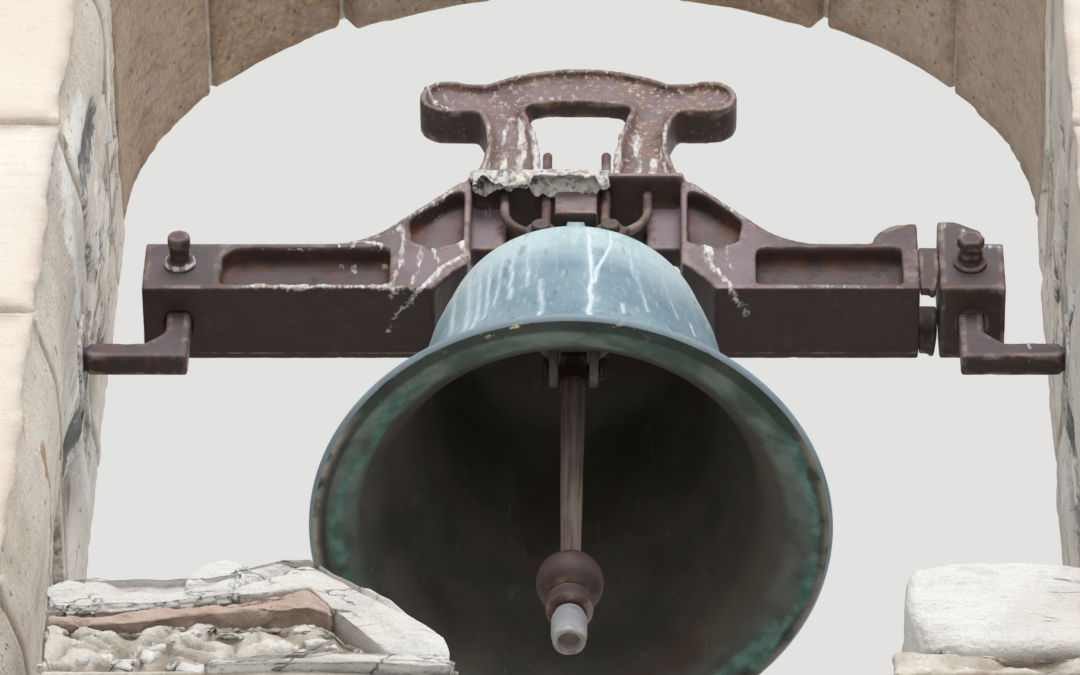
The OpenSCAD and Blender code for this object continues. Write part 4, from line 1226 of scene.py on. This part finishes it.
def bell_profile():
    """Radius and height from the middle of the top plate down the outside, round the lip and
    up the inside, with round-backed beads on the outside; and how many points are inside."""
    z = np.concatenate([np.linspace(BELL_H - 100, 136, 44), np.linspace(134, 90, 38),
                        np.linspace(87, 10, 20)])
    beads = sum(BEAD_OUT * np.clip(1 - ((z - at) / BEAD_HALF) ** 2, 0, 1) ** 0.8 for at in BEADS)
    outside = columns(outer_radius(z) + beads, z)
    shoulder = arc(108, BELL_H - 76, 76, 84, 6, 20)
    neck = np.linspace(shoulder[-1], outside[0], 8)[1:-1]
    z = np.concatenate([np.linspace(16, 134, 24), np.linspace(138, 430, 20)])
    inner, foot = columns(outer_radius(z) - bell_wall(z), z), (MOUTH_R - 24, 1)
    inside = np.concatenate([
        arc(MOUTH_R - LIP_R, LIP_R, LIP_R, -70, -90, 3), np.linspace((MOUTH_R - 11, 0.1), foot, 5),
        np.linspace(foot, inner[0], 9)[1:-1], inner,
        arc(114, BELL_H - 78, 52, 8, 90, 12), columns(np.linspace(105, 0, 4), BELL_H - 26)])
    return np.concatenate([columns(np.linspace(0, TOP_R, 4), BELL_H), shoulder, neck, outside,
                           arc(MOUTH_R - LIP_R, LIP_R, LIP_R, -2, -64, 8), inside]), len(inside)


class BELL_OT_bell(bpy.types.Operator):
    """Build the bronze bell, finely turned, with its green skin, and the loops on its head"""

    bl_idname = "bell.bell"
    bl_label = "Bell"

    def execute(self, context):
        s = context.scene.bell_bronze
        profile, inside = bell_profile()
        part = revolved(profile[::-1], s.segments, (0, 0, MOUTH_Z), np.pi / 2, 0.35)
        points = part["points"]
        angle = np.degrees(np.arctan2(points[:, 0], -points[:, 1]))
        z = points[:, 2] - MOUTH_Z
        radius = np.hypot(points[:, 0], points[:, 1])
        rows = np.append(np.repeat(np.arange(len(profile) - 2), s.segments), [0, len(profile) - 3])
        inner = (rows < inside - 1).astype(float)
        outer = 1 - inner
        wobble = 5 * noise(points, (60, 60, 90), 81) + 2 * noise(points, (20, 20, 30), 82)
        plane = columns(angle * 4 + wobble, z)
        lime = np.max([strength * near_path(plane, np.multiply(path, (4, 1)), width)
                       for path, width, strength in BELL_RUNS], axis=0)
        plane = columns(5 * angle, radius + 0.6 * wobble)
        ring = np.max([near_path(plane + (5 * turn, 0), np.multiply(path, (5, 1)), width)
                       for path, width in RING_RUNS for turn in (0, 360)], axis=0)
        low = ease(40, 20, z)
        front = ease(-0.4, 0.7, -points[:, 1] / np.maximum(radius, 1))
        edge = np.exp(-((radius - MOUTH_R + 7) / 6) ** 2) * ease(16, 6, z)
        beads = sum(share * np.exp(-((z - at - 2) / 2.2) ** 2)
                    for at, share in zip(BEADS, (0.3, 0.4, 0.5, 1)))
        part["marks"] = {
            "inner": inner,
            "lime": lime * outer * s.lime,
            "shoulder": ease(BELL_H - 190, BELL_H - 80, z) * outer,
            "teal": outer * 0.55 * ease(BELL_H - 150, BELL_H - 125, z) * ease(34, 12, np.abs(angle - 11)),
            "bead": outer * beads * (0.5 + 0.5 * front),
            "lip": outer * ease(22, 12, z) * (0.4 + 0.6 * ease(70, 40, np.abs(angle))),
            "rim": inner * ease(MOUTH_R - 26, MOUTH_R - 20, radius) * low,
            "bow": inner * ease(32, 20, z) * (0.35 + 0.65 * front),
            "ring": inner * ring * low,
            "worn": edge * np.maximum(ease(-50, -66, angle) * ease(-125, -100, angle),
                                      0.6 * ease(55, 70, angle) * ease(150, 120, angle)),
            "ochre": edge * ease(26, 12, np.abs(angle + 8)),
        }
        points[:, 2] += 2.5 * ease(0.25, 0.7, rough(points, 24, 83, 3)) * ease(10, 0, z) \
            * ease(MOUTH_R - 22, MOUTH_R - 4, radius)
        add_piece("bell_turned", part, "bronze", "bell", ["bell_shell"])
        crown = cast_skin("bell_crown", 4.0, 1, 0.4, 85)
        count = len(crown["points"])
        crown["marks"] = {"shoulder": np.full(count, 0.5), "teal": np.full(count, 1.2)}
        add_piece("bell_crown_cast", crown, "bronze", "bell", ["bell_crown"])
        return {"FINISHED"}


# Headstock

# Lime on the castings, by place in the plane of the front from the middle of the bell's mouth,
# with width and strength
HEADSTOCK_RUNS = (
    (((-130, 765), (-128, 742)), 9, 0.5), (((-97, 765), (-88, 700), (-80, 672)), 8, 0.5),
    (((-154, 578), (-171, 560), (-188, 543), (-209, 503), (-220, 484), (-230, 457)), 7, 1.0),
    (((-230, 457), (-239, 448), (-249, 430), (-257, 412), (-263, 387)), 6, 0.55),
    (((-245, 654), (-240, 602), (-246, 554), (-251, 515), (-252, 476)), 8, 0.72),
    (((-214, 602), (-219, 535), (-227, 503)), 7, 0.68),
    (((-199, 594), (-195, 578), (-191, 562)), 5, 0.75),
    (((-164, 614), (-157, 594), (-145, 578)), 11, 0.9),
    (((-288, 610), (-274, 606), (-262, 586)), 8, 0.9),
    (((-330, 612), (-331, 592)), 6, 0.7), (((-312, 612), (-310, 580)), 7, 0.75),
    (((-346, 612), (-320, 611), (-294, 611)), 6, 0.7),
    (((-284, 500), (-262, 496), (-239, 484)), 7, 0.8),
    (((-458, 499), (-420, 497), (-380, 498), (-330, 500), (-280, 498), (-228, 496)), 9, 0.66),
    (((-446, 500), (-432, 500)), 13, 0.9), (((-408, 500), (-392, 496), (-372, 500)), 14, 0.95),
    (((-352, 500), (-340, 498)), 12, 0.9), (((-280, 500), (-270, 497), (-262, 500)), 13, 0.95),
    (((-470, 618), (-400, 619), (-330, 620), (-270, 628), (-240, 650)), 7, 0.6),
    (((186, 604), (190, 585), (191, 566)), 13, 1.0),
    (((188, 564), (199, 539), (216, 503), (225, 464), (240, 445), (240, 433)), 7, 0.95),
    (((215, 606), (215, 574)), 5, 0.7), (((210, 574), (217, 550), (225, 535)), 5, 0.6),
    (((-163, 757), (-208, 704), (-233, 678), (-275, 640)), 6, 0.55),
    (((163, 757), (200, 722), (232, 678), (255, 645)), 5, 0.5),
    (((300, 500), (360, 502), (454, 498)), 6, 0.35),
)
HANDLE_RUNS = (
    (((-62, 960), (-58, 900), (-56, 790)), 13, 1.0),
    (((-84, 985), (-80, 900), (-82, 800)), 12, 0.85),
    (((-100, 990), (-108, 920), (-104, 840), (-98, 790)), 11, 0.75),
    (((-128, 960), (-126, 900), (-138, 800)), 8, 0.6),
    (((60, 990), (58, 900), (56, 800)), 11, 0.95),
    (((84, 950), (86, 860), (84, 800)), 10, 0.75),
    (((110, 880), (106, 800)), 12, 0.9), (((128, 960), (124, 880), (134, 800)), 8, 0.65),
    (((-222, 1060), (-205, 1030), (-180, 1012)), 6, 0.85),
    (((-210, 1072), (-190, 1040)), 6, 0.6),
    (((-60, 1040), (0, 1046), (60, 1040)), 24, 0.32),
    (((-146, 1075), (-100, 1090), (0, 1108), (100, 1092)), 10, 0.3),
)
BLOCK_RUNS = (
    (((545, 640), (560, 600), (590, 595)), 8, 0.5), (((520, 668), (512, 640)), 8, 0.4),
)
GUDGEON_RUNS = ((((627, 425), (627, 412)), 5, 0.8),)
SEAM_OFF = 12.5   # how far the casting seam under the beam lies from its back
LIME_THICK = 3.2
SMALL_SKIN = (1, 0.4, 93)  # smoothing, pits and seed of the small castings
VIEW_SLOPE = 0.69  # depth over height on the underside, as the photograph looks up at it


def painted(part, runs, strength, front_y=None):
    """Lime on a casting: the strongest of its runs at each point, seen from the front and from
    below, let through on faces that look forwards or up, on the edges and on the level
    underside, and hidden at the back. It stands out of the surface. Where the place of the
    front is given, the marks of paint_depths are painted too."""
    points, marks = part["points"], part["marks"]
    level = np.where(marks["up"] < -0.7, BEAM_Z - (points[:, 1] - BEAM_FRONT) / VIEW_SLOPE, points[:, 2])
    plane = columns(points[:, 0], level) + 3 * columns(noise(points, 40, 87), noise(points, 40, 88))
    lime = np.zeros(len(points))
    for path, width, power in runs:
        near = near_path(plane, np.add(path, (0, MOUTH_Z)), width)
        lime = np.maximum(lime, power * ease(0, 0.9, near))
    front = np.maximum(ease(0.2, 0.7, marks["front"]), marks["edge"] * ease(-0.3, 0.1, marks["front"]))
    front = np.maximum(front, (np.abs(points[:, 2] - BEAM_Z) < 8) * (marks["up"] < -0.7) * 0.8)
    above = ease(0.5, 0.9, marks["up"])
    top = above * ease(-0.1, 0.5, rough(points, 45, 89)) * 0.8
    marks["lime"] = np.clip(np.maximum(lime * np.maximum(front, 0.8 * above), top), 0, 1) * strength
    if front_y is not None:
        paint_depths(points, marks, front_y)
    thick = LIME_THICK * ease(0.35, 0.9, marks["lime"]) * (0.6 + 0.8 * rough(points, 9, 86, 3))
    part["points"] = points + outward_of(points, part["quads"]) * np.maximum(thick, 0)[:, None]
    return part


def paint_depths(points, marks, front_y):
    """Marks of a casting by their place in the headstock, whose front is at front_y: pocket, for
    rust and painted shade in its sunk fields; light, for painted light on what stands out and on
    the shaded cheeks of the bay, which also lose most of the mark hollow; speckle and dust on the
    crown handle."""
    x, z = points[:, 0], points[:, 2]
    facing = ease(0.3, 0.7, np.abs(marks["front"]))
    sunk = ease(4, 9, np.abs(front_y) - np.abs(points[:, 1]))
    handle = ease(BEAM_TOP, BEAM_TOP + 10, z)
    arm = ease(240, 262, np.abs(x)) * ease(BEAM_Z + 125, BEAM_Z + 115, z)
    deep = 0.5 + 0.5 * ease(BEAM_Z + 38, BEAM_Z + 84, z)
    bay = ease(160, 146, np.abs(x)) * (1 - handle)
    # Painted shade and rust in the sunk fields, deeper towards the top of an arm's pocket.
    marks["pocket"] = facing * sunk * (1 - 0.7 * handle) * np.where(arm > 0, arm * deep, 0.35) * (1 - bay)
    # Painted light on faces that look forwards or back and stand out, more in the middle and on the bay's
    # shaded cheeks, and on the crown handle's faces.
    spread = np.interp(np.abs(x), (0, 130, 175, 250, 320, 470), (1.1, 1.1, 0.85, 0.8, 0.15, 0.0))
    standing = 1 - (0.3 + 0.5 * arm) * sunk * (1 - bay)
    marks["light"] = ((facing + 0.9 * bay) * standing * spread * (1 - handle)
                      + 0.75 * facing * handle)
    # Less rust in the bay's hollows, so that its shaded cheeks stay light.
    marks["hollow"] *= 1 - 0.9 * bay * facing
    marks["speckle"] = np.maximum(facing * sunk * (0.5 - 0.4 * arm), handle)
    marks["dust"] = handle * facing * (0.65 + 0.35 * ease(60, 90, x))


def crust():
    """Lumpy apron of lime on the left two thirds of the shelf's front edge, ragged below."""
    def wear(points, outward):
        low = ease(BEAM_TOP - 4, BEAM_TOP - 40, points[:, 2])
        return (3 * (0.6 + rough(points, 12, 131, 3))
                + low * 26 * ease(-0.5, 0.5, rough(points, (24, 90, 60), 133, 3)))

    part = hewn((-154, BEAM_FRONT - 14, BEAM_TOP - 42), (50, BEAM_FRONT + 3, BEAM_TOP + 4),
                135, 2.4, 7, 1, 0, wear=wear)
    part["marks"] = {"lime": 0.86 + 0.4 * rough(part["points"], 22, 137, 3)}
    return part


class BELL_OT_headstock(bpy.types.Operator):
    """Build the iron castings that carry the bell: beam, crown handle, end block and gudgeons"""

    bl_idname = "bell.headstock"
    bl_label = "Headstock"

    def execute(self, context):
        s = context.scene.bell_iron
        add_piece("shelf_crust", crust(), "cast iron", "bell")
        for node, skin, runs, body in (
                ("headstock_beam", (s.voxel / MM, 2, 0.5, 91), HEADSTOCK_RUNS, "bell"),
                ("crown_handle", (3.7, 5, 0.5, 92), HANDLE_RUNS, "bell"),
                ("right_end_block", (3.4, *SMALL_SKIN), BLOCK_RUNS, "bell"),
                ("left_gudgeon", (2.9, *SMALL_SKIN), (), "bell"),
                ("right_gudgeon", (2.9, *SMALL_SKIN), GUDGEON_RUNS, "bell"),
                ("left_bearing", (3.8, *SMALL_SKIN), (), "masonry"),
                ("right_bearing", (3.8, *SMALL_SKIN), (), "masonry")):
            part = painted(cast_skin(node, *skin), runs, s.lime,
                           HANDLE_FRONT if node == "crown_handle" else BEAM_FRONT)
            points, marks = part["points"], part["marks"]
            if node == "headstock_beam":
                down = ease(0.3, 0.7, -marks["up"])
                seam = down * ease(3, 1, np.abs(points[:, 1] + BEAM_FRONT + SEAM_OFF))
                marks["edge"] = np.maximum(marks["edge"] * (1 - 0.7 * down), 0.8 * seam)
            if node.endswith(("gudgeon", "bearing")):
                # Gudgeons and bearings take no painted light and no painted shade of the sunk fields.
                marks["light"] *= 0
                marks["pocket"] *= 0
            if body == "masonry":
                out = np.hypot(points[:, 1], points[:, 2] - AXIS_Z)
                marks["lime"] = 0.85 * ease(26, 44, out)
            name = "headstock" if node == "headstock_beam" else node
            add_piece(name + "_cast", part, "cast iron", body, [node])
        link = painted(cast_skin("end_link", 2.2, 1, 0.5, 97), (), s.lime)
        add_piece("end_link_forged", link, "forged iron", "bell", ["end_link"])
        return {"FINISHED"}


# Bolts and hangers

class BELL_OT_fasteners(bpy.types.Operator):
    """Build the clamp bolts, crown pins and hangers"""

    bl_idname = "bell.fasteners"
    bl_label = "Bolts and hangers"

    def execute(self, context):
        s = context.scene.bell_iron
        for node in ("left_clamp_bolt", "right_clamp_bolt", "left_crown_pin", "right_crown_pin",
                     "front_left_hanger", "front_right_hanger", "rear_left_hanger", "rear_right_hanger"):
            part = cast_skin(node, 2.2, 1, 0.35, 101)
            marks = part["marks"]
            marks["lime"] = 0.6 * s.lime * ease(0.2, 0.8, marks["up"])
            if node == "left_clamp_bolt":
                out = BEAM_FRONT - part["points"][:, 1]
                ring = ease(9, 7, out) * ease(-3, 1, out)
                marks["lime"] = np.maximum(marks["lime"], 0.62 * s.lime * ring)
            add_piece(node + "_forged", part, "forged iron", "bell", [node])
        return {"FINISHED"}


PIN_THIN = 1.2
SHAFT = (0, 0.16, 0.9, 1), (14, 14, 17, 17)  # share of the shaft's height, and its radius there
SHAFT_ROWS, SHAFT_SEGMENTS = 110, 48


def thinned(pin, inside):
    """Draws a pin that lies along x in by PIN_THIN of radius where another piece turns on it."""
    points = pin["points"]
    low, high = node_box(inside)
    along = ease(low[0] - 3, low[0], points[:, 0]) * ease(high[0] + 3, high[0], points[:, 0])
    off = points[:, 1:] - (points[:, 1:].max(axis=0) + points[:, 1:].min(axis=0)) / 2
    away = off / np.maximum(np.linalg.norm(off, axis=1), 1)[:, None]
    points[:, 1:] -= PIN_THIN * along[:, None] * away


class BELL_OT_clapper(bpy.types.Operator):
    """Build the clapper and the hanger and pin that carry it"""

    bl_idname = "bell.clapper"
    bl_label = "Clapper"

    def execute(self, context):
        for node, voxel, finish, body in (
                ("clapper_hanger", 3.0, "pale iron", "bell"),
                ("clapper_pin", 1.8, "forged iron", "bell"),
                ("clapper_head", 2.0, "forged iron", "clapper"),
                ("clapper_ball", 2.5, "forged iron", "clapper"),
                ("clapper_collar", 2.1, "forged iron", "clapper"),
                ("clapper_tail", 1.8, "pale iron", "clapper")):
            part = cast_skin(node, voxel, 1, 0.3, 111)
            if node == "clapper_pin":
                thinned(part, "clapper_head")
            add_piece(node + "_worn", part, finish, body, [node])
        low, high = node_box("clapper_shaft")
        z = np.linspace(low[2], high[2], SHAFT_ROWS)
        share = (z - low[2]) / (high[2] - low[2])
        part = revolved([(0, low[2]), *columns(np.interp(share, *SHAFT), z), (0, high[2])],
                        SHAFT_SEGMENTS)
        points = part["points"]
        grain = rough(points, (5, 5, 160), 113, 3) * 0.7
        out = points * (1, 1, 0)
        out /= np.maximum(np.linalg.norm(out, axis=1), 1e-6)[:, None]
        part["points"] = points - out * np.maximum(grain + 0.4, 0)[:, None]
        add_piece("clapper_shaft_turned", part, "wood", "clapper", ["clapper_shaft"])
        return {"FINISHED"}


# Stage

FLOOR_REACH = 14.0
LIGHTS = (  # name, place, share of the key light's power
    ("front_light", (0.6, -8.2, 5.0), 1.0),
    ("back_light", (2.5, 6.5, 6.0), 0.35),
)
LIGHT_SIZE = 5.0
LIT_PLACE = (0, 0, 1.7)
CAMERA_PLACE = (0.12, -5.519, MOUTH_Z * MM - 7.539)
CAMERA_TURN = (55.39, 1.43, 1.74)  # rise, roll and yaw in degrees
CAMERA_LENS = 233.33  # in millimetres, on a sensor 36 mm wide


def seen_directly(tree):
    """1 for a ray from the camera, or one that reflection or glass has turned."""
    ray = add_node(tree, "ShaderNodeLightPath")
    total = ray.outputs["Is Camera Ray"]
    for kind in ("Is Glossy Ray", "Is Transmission Ray"):
        total = add_node(tree, "ShaderNodeMath", (0, total), (1, ray.outputs[kind]),
                         operation="ADD", use_clamp=True).outputs[0]
    return total


def looking(place, ahead, up):
    """Matrix of a lamp or camera that stands at a place and looks ahead with its top up."""
    ahead = np.asarray(ahead, float) / np.linalg.norm(ahead)
    right = np.cross(ahead, up)
    right /= np.linalg.norm(right)
    return Matrix([*columns(right, np.cross(right, ahead), -ahead, place).tolist(), (0, 0, 0, 1)])


class BELL_OT_stage(bpy.types.Operator):
    """Set the floor, the lights and the camera at the photograph's angle"""

    bl_idname = "bell.stage"
    bl_label = "Stage"

    def execute(self, context):
        scene, s = context.scene, context.scene.bell_stage
        mesh = bpy.data.meshes.new("floor")
        corners = ((-1, -1), (1, -1), (1, 1), (-1, 1))
        mesh.from_pydata([(x * FLOOR_REACH, y * FLOOR_REACH, 0) for x, y in corners], [], [(0, 1, 2, 3)])
        placed("floor", mesh)
        material = bpy.data.materials.new("floor")
        material.use_nodes = True
        tree = material.node_tree
        shader = tree.nodes["Principled BSDF"]
        for socket, value in (("Base Color", (*s.floor, 1)), ("Roughness", 0.9), ("Specular IOR Level", 0.0)):
            shader.inputs[socket].default_value = value
        below = add_node(tree, "ShaderNodeNewGeometry").outputs["Backfacing"]
        both = add_node(tree, "ShaderNodeMath", (0, below), (1, seen_directly(tree)), operation="MULTIPLY")
        clear = add_node(tree, "ShaderNodeBsdfTransparent")
        mix = add_node(tree, "ShaderNodeMixShader", (0, both.outputs[0]), (1, shader.outputs[0]),
                       (2, clear.outputs[0]))
        feed(tree, tree.nodes["Material Output"].inputs["Surface"], mix.outputs[0])
        mesh.materials.append(material)

        scene.world = bpy.data.worlds.new("pale_room")
        scene.world.use_nodes = True
        tree = scene.world.node_tree
        even = tree.nodes["Background"]
        even.inputs["Color"].default_value = (1.0, 1.0, 1.0, 1)
        even.inputs["Strength"].default_value = s.sky
        seen = add_node(tree, "ShaderNodeBackground", ("Color", (*s.floor, 1)), ("Strength", 1.0))
        mix = add_node(tree, "ShaderNodeMixShader", (0, seen_directly(tree)), (1, even.outputs[0]),
                       (2, seen.outputs[0]))
        feed(tree, tree.nodes["World Output"].inputs["Surface"], mix.outputs[0])

        for name, place, share in LIGHTS:
            lamp = bpy.data.lights.new(name, "AREA")
            lamp.energy, lamp.size = s.key * share, LIGHT_SIZE
            placed(name, lamp, looking(place, np.subtract(LIT_PLACE, place), (0, 0, 1)))
        camera = bpy.data.cameras.new("camera")
        camera.sensor_width, camera.lens = 36, CAMERA_LENS
        camera.clip_start, camera.clip_end = 0.1, 100
        rise, roll, yaw = np.radians(CAMERA_TURN)
        ahead = (-np.sin(yaw) * np.cos(rise), np.cos(yaw) * np.cos(rise), np.sin(rise))
        right = np.array((np.cos(yaw), np.sin(yaw), 0))
        up = np.cos(roll) * np.cross(right, ahead) - np.sin(roll) * right
        scene.camera = placed("camera", camera, looking(CAMERA_PLACE, ahead, up))
        scene.view_settings.view_transform = "Standard"
        return {"FINISHED"}


OPERATORS = (BELL_OT_walls, BELL_OT_arch, BELL_OT_rubble, BELL_OT_bell, BELL_OT_headstock,
             BELL_OT_fasteners, BELL_OT_clapper, BELL_OT_stage)
SETTINGS = {"bell_stone": StoneSettings, "bell_bronze": BellSettings, "bell_iron": IronSettings,
            "bell_stage": StageSettings}


class BELL_PT_panel(bpy.types.Panel):
    """Sidebar panel that lists the settings and the building steps"""

    bl_idname = "BELL_PT_panel"
    bl_label = "Bell opening"
    bl_space_type = "VIEW_3D"
    bl_region_type = "UI"
    bl_category = "Bell opening"

    def draw(self, context):
        for key, group in SETTINGS.items():
            box = self.layout.box()
            for field in group.__annotations__:
                box.prop(getattr(context.scene, key), field)
        for operator in OPERATORS:
            self.layout.operator(operator.bl_idname)


def register():
    for group in SETTINGS.values():
        bpy.utils.register_class(group)
    for key, group in SETTINGS.items():
        setattr(bpy.types.Scene, key, bpy.props.PointerProperty(type=group))
    for operator in OPERATORS:
        bpy.utils.register_class(operator)
    bpy.utils.register_class(BELL_PT_panel)


def unregister():
    bpy.utils.unregister_class(BELL_PT_panel)
    for operator in reversed(OPERATORS):
        bpy.utils.unregister_class(operator)
    for key, group in SETTINGS.items():
        delattr(bpy.types.Scene, key)
        bpy.utils.unregister_class(group)


def main():
    register()
    for step in ("walls", "arch", "rubble", "bell", "headstock", "fasteners", "clapper", "stage"):
        getattr(bpy.ops.bell, step)()


if __name__ == "__main__":
    main()
